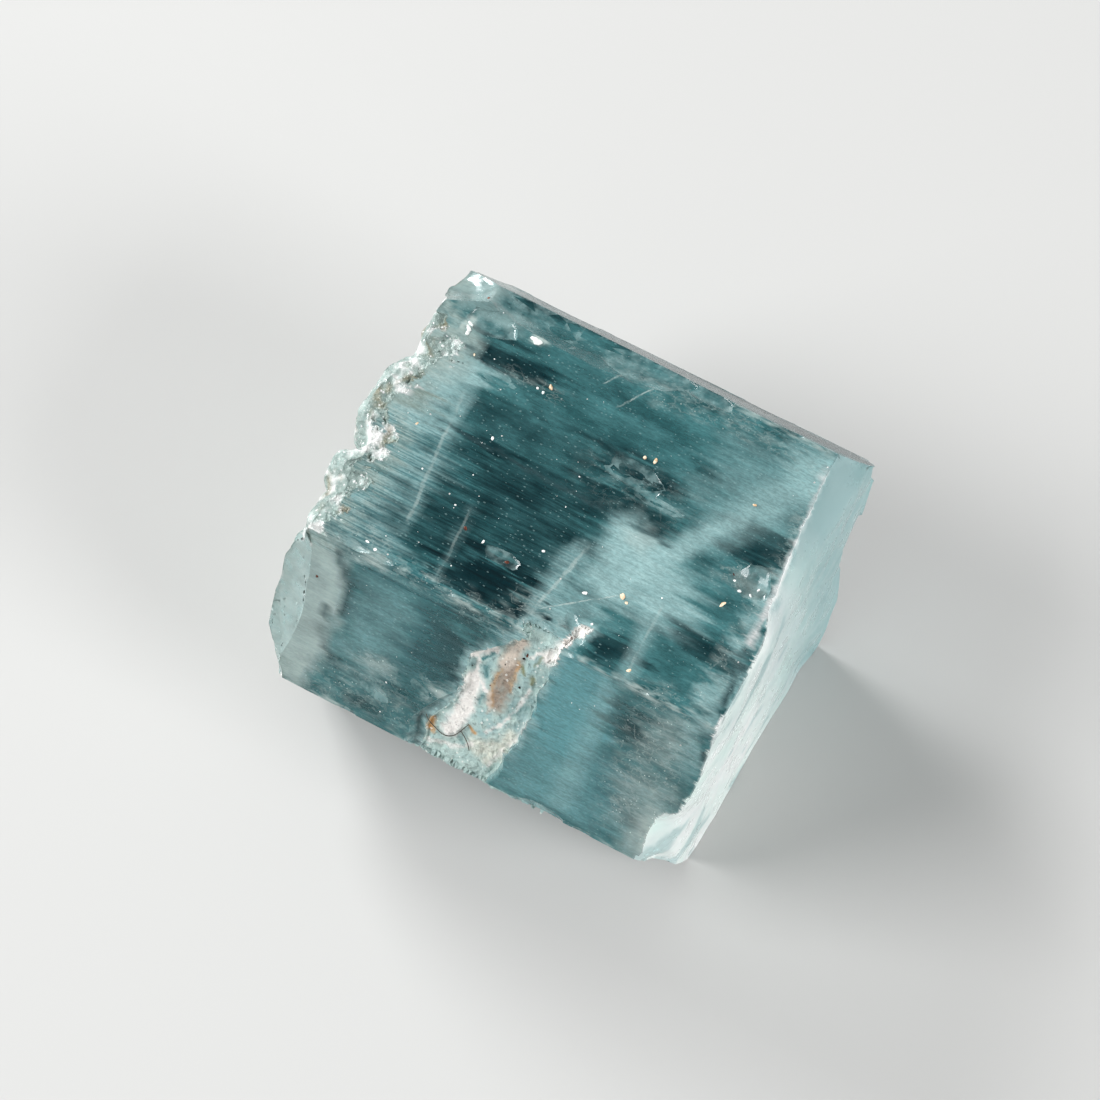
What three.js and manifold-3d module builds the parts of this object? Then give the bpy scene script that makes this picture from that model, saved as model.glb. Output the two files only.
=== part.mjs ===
// A short, translucent beryl crystal: a six-sided prism, broken at one end and parted at the other.
// Millimetres. +X runs along the prism from the broken end to the parting, +Z is up.
// The crystal lies on one prism face. The origin is the bottom centre of its bounding box.
import * as THREE from "three";
import { mergeVertices } from "three/addons/utils/BufferGeometryUtils.js";
import Module from "manifold-3d";

const wasm = await Module();
wasm.setup();

const { degToRad, smoothstep } = THREE.MathUtils;

// ---------------------------------------------------------------- driving dimensions

// The two ends, measured along the prism from its middle.
const BROKEN_END = -6.02;
const PARTED_END = 6.24;

// The prism faces, clockwise: bearing in degrees from +Y towards +Z, and distance from the prism axis.
// Growth left the top as two faces that meet in a very low fold.
// Each face carries flat growth terraces that lie up to its relief under the face.
const TOP_REACH = 3.94;
const FOLD_Y = 0.45;
const FOLD_ANGLE = 1.5;
const TOP = { bearing: 90, reach: TOP_REACH, terraces: 6, relief: 0.025 };
const FOLDED_TOP = { bearing: 90 - FOLD_ANGLE, reach: foldedReach(), terraces: 3, relief: 0.02 };
const FAR_UPPER = { bearing: 30, reach: 6.29, terraces: 3, relief: 0.05 };
const FAR_LOWER = { bearing: -30, reach: 4.62, terraces: 4, relief: 0.06 };
const REST = { bearing: -90, reach: 3.95, terraces: 1, relief: 0 };
const NEAR_LOWER = { bearing: -150, reach: 5.78, terraces: 4, relief: 0.05 };
const NEAR_UPPER = { bearing: 150, reach: 5.14, terraces: 4, relief: 0.025 };
const PRISM_FACES = [TOP, FOLDED_TOP, FAR_UPPER, FAR_LOWER, REST, NEAR_LOWER, NEAR_UPPER];
const RISER = 0.06; // width of the small step between two growth terraces

// Rounded knobs of the broken end: where each stands, its radius and how far out it reaches.
const KNOBS = [
  { y: 4.3, z: 3.0, radius: 2.1, out: 0.38 },
  { y: 0.8, z: 3.0, radius: 1.55, out: 0.7 },
  { y: -1.62, z: 3.3, radius: 0.72, out: 0.54 },
  { y: -3.15, z: 3.1, radius: 1.0, out: 0.26 },
  { y: -4.6, z: 1.5, radius: 2.0, out: 0.52 },
  { y: -2.4, z: -0.6, radius: 2.0, out: 0.5 },
  { y: 0.7, z: -1.3, radius: 2.2, out: 0.56 },
  { y: 3.4, z: -1.2, radius: 2.0, out: 0.42 },
  { y: -1.4, z: -3.2, radius: 1.5, out: 0.35 },
  { y: -4.2, z: -2.5, radius: 1.3, out: 0.3 },
];
const CRUMBLED_RIM = { width: 0.55, drop: 0.3 };
const BROKEN_ROUGHNESS = 0.07;

// The parting swells towards the near top edge and stands out in a low facet at the far bottom corner.
const SWELL = { y: -3.0, z: 2.6, radius: 3.2, out: 0.24 };
const FACET = { y: 3.7, z: -3.2, radius: 1.5, out: 0.15 };
const FAR_TOP_BEVEL = { from: -2.6, to: 5.2, width: 0.9, drop: 0.9 };
const NEAR_BEVEL = { from: 2.6, to: -0.7, width: 0.9, drop: 0.75 };
const PARTED_RIM = { width: 0.2, drop: 0.06 };

// Cells of the height fields at the two ends, finer towards the top edge.
const FIELD_WIDTH = 13.2;
const FIELD_HEIGHT = 8.3;
const BROKEN_CELLS = { across: 44, upright: 22 };
const PARTED_CELLS = { across: 24, upright: 14 };
const CROWDING = 1.5;

// Small nicks along the prism's long edges.
const NICKS_PER_EDGE = 4;
const NICK = { length: 0.3, width: 0.16, depth: 0.07 };

// ---------------------------------------------------------------- small helpers

// A repeatable stream of numbers from 0 to 1.
function stream(seed) {
  let state = seed;
  return () => {
    state = (state * 1103515245 + 12345) % 2147483648;
    return state / 2147483648;
  };
}

// A smooth, repeatable roughness between about -1 and 1, over lengths of about one unit.
function roughness(u, v, phase = 0) {
  const broad = Math.sin(1.9 * u + 1.3 * Math.sin(1.1 * v + phase)) * Math.sin(2.3 * v - 0.9 * Math.sin(1.7 * u));
  const fine = Math.sin(4.7 * u - 2.1 * v + phase) * Math.sin(3.9 * v + 2.9 * u + 2 * phase);
  return 0.65 * broad + 0.35 * fine;
}

// Outward direction of a bearing in the prism's cross-section, whose axes are Y and Z.
function outward(bearing) {
  return new THREE.Vector2(Math.cos(degToRad(bearing)), Math.sin(degToRad(bearing)));
}

// Distance that makes the folded face meet the top at the fold.
function foldedReach() {
  return outward(90 - FOLD_ANGLE).dot({ x: FOLD_Y, y: TOP_REACH });
}

// How far a point of the cross-section lies inside one face.
function depthUnder(face, y, z) {
  return face.reach - outward(face.bearing).dot({ x: y, y: z });
}

// 1 at the prism's skin, falling to 0 at the given distance inside it.
function rim(y, z, width) {
  const depth = Math.min(...PRISM_FACES.map((face) => depthUnder(face, y, z)));
  return THREE.MathUtils.clamp(1 - depth / width, 0, 1);
}

// The flattened dome of a knob or swelling: its full reach in the middle, 0 at its rim.
function dome({ y, z, radius, out }, atY, atZ) {
  const share = Math.hypot(atY - y, atZ - z) / radius;
  return share < 1 ? out * Math.sqrt(1 - share ** 4) : 0;
}

// A three.js geometry as a manifold-3d solid.
function solid(geometry) {
  const bare = new THREE.BufferGeometry();
  bare.setAttribute("position", geometry.getAttribute("position"));
  bare.setIndex(geometry.index);
  const merged = mergeVertices(bare, 1e-5);
  const mesh = new wasm.Mesh({
    numProp: 3,
    vertProperties: new Float32Array(merged.attributes.position.array),
    triVerts: new Uint32Array(merged.index.array),
  });
  return new wasm.Manifold(mesh);
}

// A manifold-3d solid as a three.js geometry.
function geometryOf(made) {
  const mesh = made.getMesh();
  const geometry = new THREE.BufferGeometry();
  geometry.setAttribute("position", new THREE.BufferAttribute(mesh.vertProperties, mesh.numProp));
  geometry.setIndex(new THREE.BufferAttribute(mesh.triVerts, 1));
  return geometry;
}

// ---------------------------------------------------------------- the prism

// The edge between two neighbouring faces, as a point of the cross-section.
function edgeBetween(one, other) {
  const a = outward(one.bearing);
  const b = outward(other.bearing);
  const cross = a.x * b.y - a.y * b.x;
  return new THREE.Vector2(
    (one.reach * b.y - other.reach * a.y) / cross,
    (other.reach * a.x - one.reach * b.x) / cross,
  );
}

// One face in the outline: its start corner and then its growth terraces, parted by risers.
function terracedFace(face, start, end, random) {
  const points = [start.clone()];
  const along = end.clone().sub(start);
  const riserShare = RISER / along.length();
  const inwards = outward(face.bearing).negate();
  let under = 0;
  for (let i = 1; i < face.terraces; i++) {
    const share = (i + 0.7 * (random() - 0.5)) / face.terraces;
    points.push(start.clone().addScaledVector(along, share - riserShare).addScaledVector(inwards, under));
    under = i === face.terraces - 1 ? 0 : face.relief * random();
    points.push(start.clone().addScaledVector(along, share).addScaledVector(inwards, under));
  }
  return points;
}

// Turns a shape that was extruded along Z, so that its x and y lie along Y and Z and its depth along X.
function layAlongX(geometry) {
  const [x, y, z] = [new THREE.Vector3(1, 0, 0), new THREE.Vector3(0, 1, 0), new THREE.Vector3(0, 0, 1)];
  return geometry.applyMatrix4(new THREE.Matrix4().makeBasis(y, z, x));
}

function prismSolid() {
  const random = stream(11);
  const count = PRISM_FACES.length;
  const outline = [];
  // The faces are listed clockwise, and a shape's outline runs anticlockwise.
  for (let i = count - 1; i >= 0; i--) {
    const face = PRISM_FACES[i];
    const start = edgeBetween(face, PRISM_FACES[(i + 1) % count]);
    const end = edgeBetween(face, PRISM_FACES[(i + count - 1) % count]);
    outline.push(...terracedFace(face, start, end, random));
  }
  const depth = 2 * PARTED_END + 3;
  const prism = new THREE.ExtrudeGeometry(new THREE.Shape(outline), { depth, steps: 1, bevelEnabled: false });
  return solid(layAlongX(prism.translate(0, 0, -depth / 2)));
}

// ---------------------------------------------------------------- the two ends

function brokenEnd(y, z) {
  const knob = Math.max(...KNOBS.map((k) => dome(k, y, z)));
  const crumbling = 1 + 0.5 * roughness(0.9 * y, 0.9 * z, 2);
  const crumbled = CRUMBLED_RIM.drop * crumbling * rim(y, z, CRUMBLED_RIM.width) ** 1.5;
  return BROKEN_END - knob + crumbled + BROKEN_ROUGHNESS * roughness(2.1 * y, 2.1 * z);
}

function partedEnd(y, z) {
  const swell = dome(SWELL, y, z) + dome(FACET, y, z);
  const farShare = smoothstep(y, FAR_TOP_BEVEL.from, FAR_TOP_BEVEL.to);
  const farWidth = FAR_TOP_BEVEL.width * (0.3 + 0.7 * farShare);
  const farDrop = FAR_TOP_BEVEL.drop * farShare * Math.max(0, 1 - depthUnder(TOP, y, z) / farWidth);
  const nearShare = 1 - smoothstep(z, NEAR_BEVEL.to, NEAR_BEVEL.from);
  const nearDepth = Math.max(0, depthUnder(NEAR_UPPER, y, z));
  const nearDrop = NEAR_BEVEL.drop * nearShare * Math.max(0, 1 - nearDepth / NEAR_BEVEL.width);
  const rimDrop = PARTED_RIM.drop * rim(y, z, PARTED_RIM.width);
  const waves = 0.04 * roughness(0.8 * y + 1, 0.8 * z) + 0.02 * roughness(2.4 * y, 2.4 * z, 1);
  return PARTED_END + swell - Math.max(farDrop, nearDrop, rimDrop) + waves;
}

// A block that is flat except for its end towards -X or +X, which has the relief of that end of the crystal.
function endBlock(side, relief, { across, upright }) {
  const length = 10;
  const block = new THREE.BoxGeometry(length, FIELD_WIDTH, FIELD_HEIGHT, 1, across, upright);
  block.translate((side * length) / 2 - side, 0, 0);
  const at = block.attributes.position;
  for (let i = 0; i < at.count; i++) {
    const fromTop = Math.max(0, 0.5 - at.getZ(i) / FIELD_HEIGHT) ** CROWDING;
    at.setZ(i, FIELD_HEIGHT * (0.5 - fromTop));
    if (at.getX(i) * side > 1) at.setX(i, relief(at.getY(i), at.getZ(i)));
  }
  return solid(block);
}

// ---------------------------------------------------------------- chips, pits and the scar

// A shell-shaped chip at a point of the skin that faces the given bearing. It leans towards +X by lean degrees.
// Its length lies along the prism, turned on the skin by twist degrees.
function chip({ at, bearing, lean = 0, twist = 0, length, width, depth, ripple = 0.03, seed = 1 }) {
  const rings = length > 0.6 ? 4 : 3;
  const spokes = length > 0.6 ? 18 : 12;
  const profile = [];
  for (let i = 0; i <= rings; i++) {
    const share = i / rings;
    const wave = i % rings === 0 ? 0 : ripple * Math.cos(Math.PI * i);
    profile.push(new THREE.Vector2(share, share ** 2 - 1 + wave));
  }
  const clearance = 1 + 0.6 / depth;
  profile.push(new THREE.Vector2(1.2, clearance), new THREE.Vector2(0, clearance));
  const tool = new THREE.LatheGeometry(profile, spokes);
  const points = tool.attributes.position;
  for (let i = 0; i < points.count; i++) {
    const x = points.getX(i);
    const z = points.getZ(i);
    const uneven = 1 + 0.25 * roughness(1.3 * x, 1.3 * z, seed);
    points.setXYZ(i, x * uneven, points.getY(i), z * uneven);
  }
  tool.scale(length, depth, width);
  tool.rotateY(degToRad(twist));
  tool.rotateZ(degToRad(-lean));
  tool.rotateX(degToRad(bearing));
  tool.translate(...at);
  return solid(tool);
}

const NEAR_EDGE = edgeBetween(NEAR_UPPER, TOP);

// A point of the near upper face, by its place along the prism and its distance below the top edge.
function onNearUpper(x, below) {
  const downFace = outward(NEAR_UPPER.bearing + 90);
  return [x, NEAR_EDGE.x + below * downFace.x, NEAR_EDGE.y + below * downFace.y];
}

function onTop(x, y, under = 0) {
  return [x, y, TOP_REACH - under];
}

// Shell chips and etch marks on the top face and along its far edge.
const TOP_CHIPS = [
  { at: [-2.5, 4.95, 3.6], bearing: 66, length: 3.3, width: 0.95, depth: 0.24, seed: 2 },
  { at: [-5.7, 4.9, 3.5], bearing: 60, lean: -22, length: 1.2, width: 0.9, depth: 0.26, seed: 3 },
  { at: onTop(-4.6, 3.95, 0.1), bearing: 84, twist: 12, length: 0.75, width: 0.45, depth: 0.12, seed: 4 },
  { at: [1.5, 4.9, 3.76], bearing: 62, length: 0.9, width: 0.35, depth: 0.1, seed: 5 },
  { at: onTop(-4.4, 2.62, 0.05), bearing: 90, length: 1.6, width: 0.26, depth: 0.09, seed: 6 },
  { at: onTop(1.0, 1.87, 0.03), bearing: 90, length: 1.1, width: 0.45, depth: 0.07, seed: 7 },
  { at: onTop(1.9, 1.35, 0.02), bearing: 90, length: 0.8, width: 0.16, depth: 0.06, seed: 8 },
  { at: onTop(-0.95, -2.05), bearing: 90, length: 0.62, width: 0.24, depth: 0.08, seed: 9 },
  { at: onTop(5.2, 0.55), bearing: 90, lean: 14, length: 0.58, width: 0.56, depth: 0.24, ripple: 0.07, seed: 10 },
];

// The broken and frosted corners of the near upper face, and its pits.
const NEAR_CHIPS = [
  { at: onNearUpper(-6.7, 2.5), bearing: 150, lean: -13, length: 2.3, width: 3.1, depth: 0.42, seed: 12 },
  { at: onNearUpper(-4.6, 0), bearing: 120, length: 0.55, width: 0.24, depth: 0.12, seed: 14 },
  { at: onNearUpper(-2.95, 4.15), bearing: 150, twist: -20, length: 0.55, width: 0.22, depth: 0.08, seed: 15 },
  { at: onNearUpper(-1.65, 3.4), bearing: 150, twist: -25, length: 0.4, width: 0.18, depth: 0.08, seed: 16 },
  { at: onNearUpper(6.0, 4.3), bearing: 152, lean: 30, length: 0.9, width: 1.1, depth: 0.26, seed: 17 },
  { at: onNearUpper(6.1, 5.2), bearing: 176, lean: 36, length: 0.9, width: 1.0, depth: 0.46, seed: 26 },
  { at: onNearUpper(-5.95, 5.2), bearing: 176, lean: -42, length: 0.9, width: 1.0, depth: 0.32, seed: 27 },
];

// Chips on the far and lower sides.
const FAR_CHIPS = [
  { at: [-3.6, 6.25, 1.65], bearing: 2, length: 1.2, width: 0.5, depth: 0.16, seed: 18 },
  { at: [2.7, 6.25, 1.6], bearing: -2, length: 0.8, width: 0.4, depth: 0.14, seed: 19 },
  { at: [-5.75, 6.15, 1.75], bearing: 8, lean: -42, length: 0.8, width: 1.0, depth: 0.26, seed: 28 },
  { at: [6.2, 6.2, 1.7], bearing: 2, lean: 42, length: 0.6, width: 0.9, depth: 0.26, seed: 29 },
  { at: [-5.9, 4.4, -1.8], bearing: -30, lean: -30, length: 1.4, width: 1.7, depth: 0.36, seed: 20 },
  { at: [6.0, 4.9, -0.6], bearing: -30, lean: 34, length: 0.7, width: 0.9, depth: 0.16, seed: 21 },
  { at: [0.4, 3.05, -3.85], bearing: -58, length: 1.5, width: 0.5, depth: 0.2, seed: 22 },
  { at: [6.1, -5.75, -1.6], bearing: -160, lean: 38, length: 0.8, width: 1.3, depth: 0.34, seed: 30 },
  { at: [-5.9, -5.2, -2.4], bearing: -150, lean: -30, length: 1.2, width: 1.5, depth: 0.34, seed: 23 },
  { at: [2.6, -6.25, -0.75], bearing: 178, length: 0.8, width: 0.35, depth: 0.12, seed: 24 },
  { at: [-2.4, -4.4, -3.85], bearing: -122, length: 1.2, width: 0.5, depth: 0.2, seed: 25 },
];

// The altered scar: it starts on the top face, crosses the near edge and widens down the near upper face in ledges.
const SCAR_CHIPS = [
  { at: onTop(1.75, -2.9), bearing: 93, twist: -38, length: 0.6, width: 0.2, depth: 0.1, seed: 31 },
  { at: onTop(1.1, -3.5, 0.05), bearing: 116, twist: -35, length: 0.8, width: 0.4, depth: 0.14, seed: 32 },
  { at: onNearUpper(-1.05, 5.1), bearing: 164, twist: 25, length: 0.7, width: 0.5, depth: 0.2, seed: 33 },
  { at: onNearUpper(0.1, 5.25), bearing: 168, twist: 10, length: 0.6, width: 0.34, depth: 0.16, seed: 34 },
];

// The scar's left and right borders, going down the near upper face from its top edge.
const SCAR_BORDERS = [
  { below: 0.2, left: 0.8, right: 1.6 },
  { below: 1.1, left: -0.1, right: 1.6 },
  { below: 1.5, left: -0.6, right: 1.5 },
  { below: 2.6, left: -0.45, right: 1.45 },
  { below: 3.4, left: -1.05, right: 1.35 },
  { below: 4.3, left: -1.5, right: 1.1 },
  { below: 5.9, left: -1.45, right: 0.65 },
];
const SCAR_CELLS = { along: 11, down: 17 };
const SCAR_LEDGE = { under: 0.05, step: 0.06, levels: 3, clear: 0.2 };
const SCAR_RAGGEDNESS = 0.12;

// One border of the scar at a distance below the top edge.
function scarBorder(side, below) {
  const next = Math.max(1, SCAR_BORDERS.findIndex((b) => b.below >= below));
  const [above, under] = [SCAR_BORDERS[next - 1], SCAR_BORDERS[next]];
  const straight = THREE.MathUtils.mapLinear(below, above.below, under.below, above[side], under[side]);
  return straight + SCAR_RAGGEDNESS * roughness(2.7 * below, side.length);
}

// Depth of the scar's ledges, which deepen towards the lower edge.
function scarDepth(x, below) {
  const level = Math.floor(SCAR_LEDGE.levels * (0.5 + 0.5 * roughness(1.2 * x + 0.6 * below, 0.8 * below, 3)));
  const towardsEdge = 0.16 * smoothstep(below, 3.8, 5.4);
  return SCAR_LEDGE.under + SCAR_LEDGE.step * level + towardsEdge + 0.025 * roughness(2.3 * x, 2.1 * below);
}

// A block over the near upper face whose underside has the relief of the scar.
// Its outer cells rise clear of the skin, so the next ones follow the scar's borders.
function scarBlock() {
  const { along, down } = SCAR_CELLS;
  const [first, last] = [SCAR_BORDERS[0], SCAR_BORDERS.at(-1)];
  const block = new THREE.BoxGeometry(1, 1, last.below - first.below, along, 1, down);
  const at = block.attributes.position;
  for (let i = 0; i < at.count; i++) {
    const below = at.getZ(i) + (first.below + last.below) / 2;
    const share = ((at.getX(i) + 0.5) * along - 1) / (along - 2);
    const x = THREE.MathUtils.lerp(scarBorder("left", below), scarBorder("right", below), share);
    const inside = share > -0.01 && share < 1.01;
    const floor = inside ? -scarDepth(x, below) : SCAR_LEDGE.clear;
    at.setXYZ(i, x, at.getY(i) < 0 ? floor : 1, below);
  }
  block.rotateX(degToRad(NEAR_UPPER.bearing));
  return solid(block.translate(...onNearUpper(0, 0)));
}

// Nicks spread along the long edges of the prism, a few on each.
function edgeNicks() {
  const random = stream(5);
  const nicks = [];
  PRISM_FACES.forEach((face, i) => {
    const next = PRISM_FACES[(i + 1) % PRISM_FACES.length];
    if (face === TOP) return; // the fold is too low to chip
    const edge = edgeBetween(face, next);
    const bearing = THREE.MathUtils.radToDeg(outward(face.bearing).add(outward(next.bearing)).angle());
    for (let n = 0; n < NICKS_PER_EDGE; n++) {
      const share = (n + 0.15 + 0.7 * random()) / NICKS_PER_EDGE;
      const size = 0.6 + 0.8 * random();
      nicks.push({
        at: [THREE.MathUtils.lerp(-5.6, 5.6, share), edge.x, edge.y],
        bearing,
        length: NICK.length * size,
        width: NICK.width * size,
        depth: NICK.depth * size,
        seed: 40 + nicks.length,
      });
    }
  });
  return nicks;
}

// ---------------------------------------------------------------- the crystal

function crystalGeometry() {
  const ends = endBlock(-1, brokenEnd, BROKEN_CELLS).add(endBlock(1, partedEnd, PARTED_CELLS));
  const cuts = [
    ...[...TOP_CHIPS, ...NEAR_CHIPS, ...FAR_CHIPS, ...SCAR_CHIPS, ...edgeNicks()].map(chip),
    scarBlock(),
  ];
  const made = cuts.reduce((left, cut) => left.subtract(cut), prismSolid().intersect(ends));
  const geometry = geometryOf(made);
  geometry.computeBoundingBox();
  const { min, max } = geometry.boundingBox;
  return geometry.translate(-(min.x + max.x) / 2, -(min.y + max.y) / 2, -min.z);
}

function crystal() {
  const material = new THREE.MeshStandardMaterial({ color: 0x4f8a8f, roughness: 0.25, metalness: 0 });
  const mesh = new THREE.Mesh(crystalGeometry(), material);
  mesh.name = "beryl_crystal";
  return mesh;
}

const part = new THREE.Group();
part.add(crystal());

export default part;
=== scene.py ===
"""A vanadium beryl crystal that lies on a pale table.

Sizes are in millimetres from the middle of the prism, with +X along it, until a
piece is finished. Then the piece is moved into the frame's own place, in metres.
"""
import math
import random
from collections import namedtuple

import bmesh
import bpy
import numpy
from mathutils import Matrix, Vector, noise
from mathutils.bvhtree import BVHTree
from mathutils.kdtree import KDTree


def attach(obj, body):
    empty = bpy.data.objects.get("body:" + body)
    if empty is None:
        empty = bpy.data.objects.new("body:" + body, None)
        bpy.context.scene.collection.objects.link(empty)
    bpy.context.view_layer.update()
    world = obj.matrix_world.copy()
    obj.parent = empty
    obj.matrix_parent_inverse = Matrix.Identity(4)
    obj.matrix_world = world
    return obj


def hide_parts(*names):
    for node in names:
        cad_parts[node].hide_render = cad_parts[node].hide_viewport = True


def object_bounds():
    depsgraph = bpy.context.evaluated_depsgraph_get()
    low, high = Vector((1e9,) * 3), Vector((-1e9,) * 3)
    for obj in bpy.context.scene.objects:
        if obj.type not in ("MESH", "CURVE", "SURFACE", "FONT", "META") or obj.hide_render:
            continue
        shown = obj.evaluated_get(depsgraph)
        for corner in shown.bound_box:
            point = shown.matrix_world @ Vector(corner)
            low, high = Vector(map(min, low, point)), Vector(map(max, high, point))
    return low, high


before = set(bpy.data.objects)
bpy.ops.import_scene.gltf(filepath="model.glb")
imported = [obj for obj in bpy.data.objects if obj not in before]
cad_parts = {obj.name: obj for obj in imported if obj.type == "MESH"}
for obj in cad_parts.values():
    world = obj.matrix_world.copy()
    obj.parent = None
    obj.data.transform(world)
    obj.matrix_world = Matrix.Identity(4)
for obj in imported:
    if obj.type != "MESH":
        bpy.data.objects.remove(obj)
cad_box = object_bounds()
noise.seed_set(1)  # without this, noise_vector follows the clock, and no two runs are the same

# ------------------------------------------------------------------ sizes and places

NODE = "beryl_crystal"
MILLIMETRE = 0.001
PRISM_MIDDLE = Vector((0.14, 0.003, 3.95))  # in the frame
TO_FRAME = Matrix.Scale(MILLIMETRE, 4) @ Matrix.Translation(PRISM_MIDDLE)
ALONG = Vector((1, 0, 0))
HALF_LENGTH = 6.6


def across(bearing):
    """The direction across the prism at a bearing, in degrees from +Y towards +Z."""
    angle = math.radians(bearing)
    return Vector((0, math.cos(angle), math.sin(angle)))


# A prism face: its bearing, its distance from the axis, the spacing and depth of its growth
# lines, and the length over which they change.
Side = namedtuple("Side", "bearing reach spacing depth length")
TOP = Side(90, 3.94, 0.055, 0.006, 0.2)
FOLDED_TOP = Side(88.5, 3.95, 0.07, 0.005, 0.25)
FAR_UPPER = Side(30, 6.29, 0.12, 0.012, 0.6)
FAR_LOWER = Side(-30, 4.62, 0.14, 0.014, 0.8)
REST = Side(-90, 3.95, 0.4, 0.0, 2.0)
NEAR_LOWER = Side(-150, 5.78, 0.14, 0.014, 0.8)
NEAR_UPPER = Side(150, 5.14, 0.065, 0.005, 0.25)
SIDES = [TOP, FOLDED_TOP, FAR_UPPER, FAR_LOWER, REST, NEAR_LOWER, NEAR_UPPER]
NO_SIDE = -1

# The prism's long edges, as places across it. The last is the near top edge.
EDGES_ACROSS = [(4.99, 3.85), (6.30, 1.67), (3.05, -3.95), (-4.39, -3.95), (-6.30, -0.64), (-3.66, 3.94)]
NEAR_EDGE = Vector((0, *EDGES_ACROSS[-1]))
NEAR_OUT = across(NEAR_UPPER.bearing)
NEAR_DOWN = Vector((0, -0.5, -0.866))

# The scar's borders: distance below the near top edge, left end and right end.
SCAR_BORDERS = [
    (-0.1, 0.6, 1.75),
    (0.2, 0.75, 1.65),
    (1.1, -0.1, 1.6),
    (1.5, -0.6, 1.5),
    (2.6, -0.5, 1.48),
    (3.5, -0.8, 1.34),
    (4.3, -1.15, 1.05),
    (6.2, -1.3, 0.5),
]
LEFT_END, RIGHT_END = 1, 2
SCAR_DEEPEST = 0.6  # under the near upper face

# The snowy crust on the near top edge, beside the scar: x and y of a point of its middle line,
# how far the line slants along the prism, and the stretch across the prism that it keeps to.
CRUST_POINT = (1.5, -3.9)
CRUST_SLANT = 0.45
CRUST_ACROSS = (-4.05, -2.75)

# Kinds of surface, which are also the numbers of the crystal's materials. The fringe is the
# skin beside the breaks, until it is sorted into the others.
SKIN, SHELL, BROKEN, PARTED, SCAR, FRINGE = range(6)
LONGEST_EDGE = {SHELL: 0.16, BROKEN: 0.17, PARTED: 0.24, SCAR: 0.07}
LONGEST_FRINGE_EDGE = 0.1
HALVINGS = 7  # at most this many halvings shorten the edges
STEP_CUTS = 40  # cuts across the long steps between growth faces

# The skin lies this nearly square to a side's bearing, and at most this far under it.
SKIN_TILT = math.cos(math.radians(5))
SKIN_SUNK = 0.07
LONG_STEP = 0.45  # a step between prism faces has an edge longer than this

# How far from each break the skin is cut fine, how far the breaks spread over it, and the
# stretch across the prism in which the broken end does.
FRINGE_REACH = {BROKEN: 0.8, PARTED: 0.2, SCAR: 0.25}
BROKEN_SPREAD = 0.5
PARTED_SPREAD = 0.05
BROKEN_ACROSS = (-3.75, 3.6)

# ------------------------------------------------------------------ the crystal's surface


def wrinkle(point, octaves=3, softness=1.0):
    """Noise about zero at a point, with finer octaves over it."""
    return noise.fractal(point, softness, 2.0, octaves)


def below_edge(point):
    """How far down the near upper face a point is from the near top edge."""
    return (point - NEAR_EDGE).dot(NEAR_DOWN)


def scar_border(end, below):
    """Where the scar begins or ends along the prism, at this distance below the near top edge."""
    for upper, lower in zip(SCAR_BORDERS, SCAR_BORDERS[1:]):
        if below <= lower[0]:
            break
    share = (below - upper[0]) / (lower[0] - upper[0])
    return upper[end] + share * (lower[end] - upper[end])


def in_scar(point):
    below = below_edge(point)
    highest, lowest = SCAR_BORDERS[0][0], SCAR_BORDERS[-1][0]
    if point.dot(NEAR_OUT) < NEAR_UPPER.reach - SCAR_DEEPEST or not highest < below < lowest:
        return False
    ragged = 0.12 * wrinkle(3 * point)
    return scar_border(LEFT_END, below) + ragged < point.x < scar_border(RIGHT_END, below) + ragged


def in_crust(point):
    """Whether a point is in the crust, a ragged band that slants over the top edge."""
    aside = point.x - CRUST_POINT[0] - CRUST_SLANT * (point.y - CRUST_POINT[1])
    in_band = abs(aside) < 0.12 + 0.15 * wrinkle(4 * point)
    return in_band and CRUST_ACROSS[0] < point.y < CRUST_ACROSS[1] and point.z > 3.3


def near_crust(point):
    """Whether a point is in a box round the crust."""
    return 0.9 < point.x < 2.4 and -4.3 < point.y < -2.5 and point.z > 3.0


def on_near_side(point):
    return point.y < -2.4 and point.z > -1.3


def in_broken_end(middle, normal):
    """Whether a face is of the crumbly end, and not of the smooth chips at its far and near corners."""
    far_corner = middle.y > 3.3 and middle.z > 1.5
    near_corner = on_near_side(middle) and below_edge(middle) > 0.5
    if normal.x > -0.75 and (far_corner or near_corner):
        return False
    return middle.x < -5.6 or (middle.x < -4.8 and normal.x < -0.45)


def in_parting(middle, normal):
    """Whether a face is of the parting, or of the flake that is gone from its near corner."""
    facing = middle.x > 5.5 and normal.x > 0.5
    flake = on_near_side(middle) and middle.x > 4.9 and middle.z < 1.8
    return middle.x > 5.9 or facing or flake


def surface_kind(face):
    """What a face of the solid is, and the number of its prism face."""
    middle, normal = face.calc_center_median(), face.normal
    if in_scar(middle):
        return SCAR, NO_SIDE
    for number, plan in enumerate(SIDES):
        out = across(plan.bearing)
        if normal.dot(out) > SKIN_TILT and plan.reach - middle.dot(out) < SKIN_SUNK:
            return SKIN, number
    if abs(normal.x) < 0.05 and max(edge.calc_length() for edge in face.edges) > LONG_STEP:
        return SKIN, NO_SIDE
    if in_broken_end(middle, normal):
        return BROKEN, NO_SIDE
    if in_parting(middle, normal):
        return PARTED, NO_SIDE
    return SHELL, NO_SIDE


def mark_kinds(bm, side):
    for face in bm.faces:
        face.material_index, face[side] = surface_kind(face)


def rim_tree(bm, kind):
    """A search tree of the faces of one kind."""
    middles = [f.calc_center_median() for f in bm.faces if f.material_index == kind]
    tree = KDTree(len(middles))
    for number, middle in enumerate(middles):
        tree.insert(middle, number)
    tree.balance()
    return tree


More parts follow.
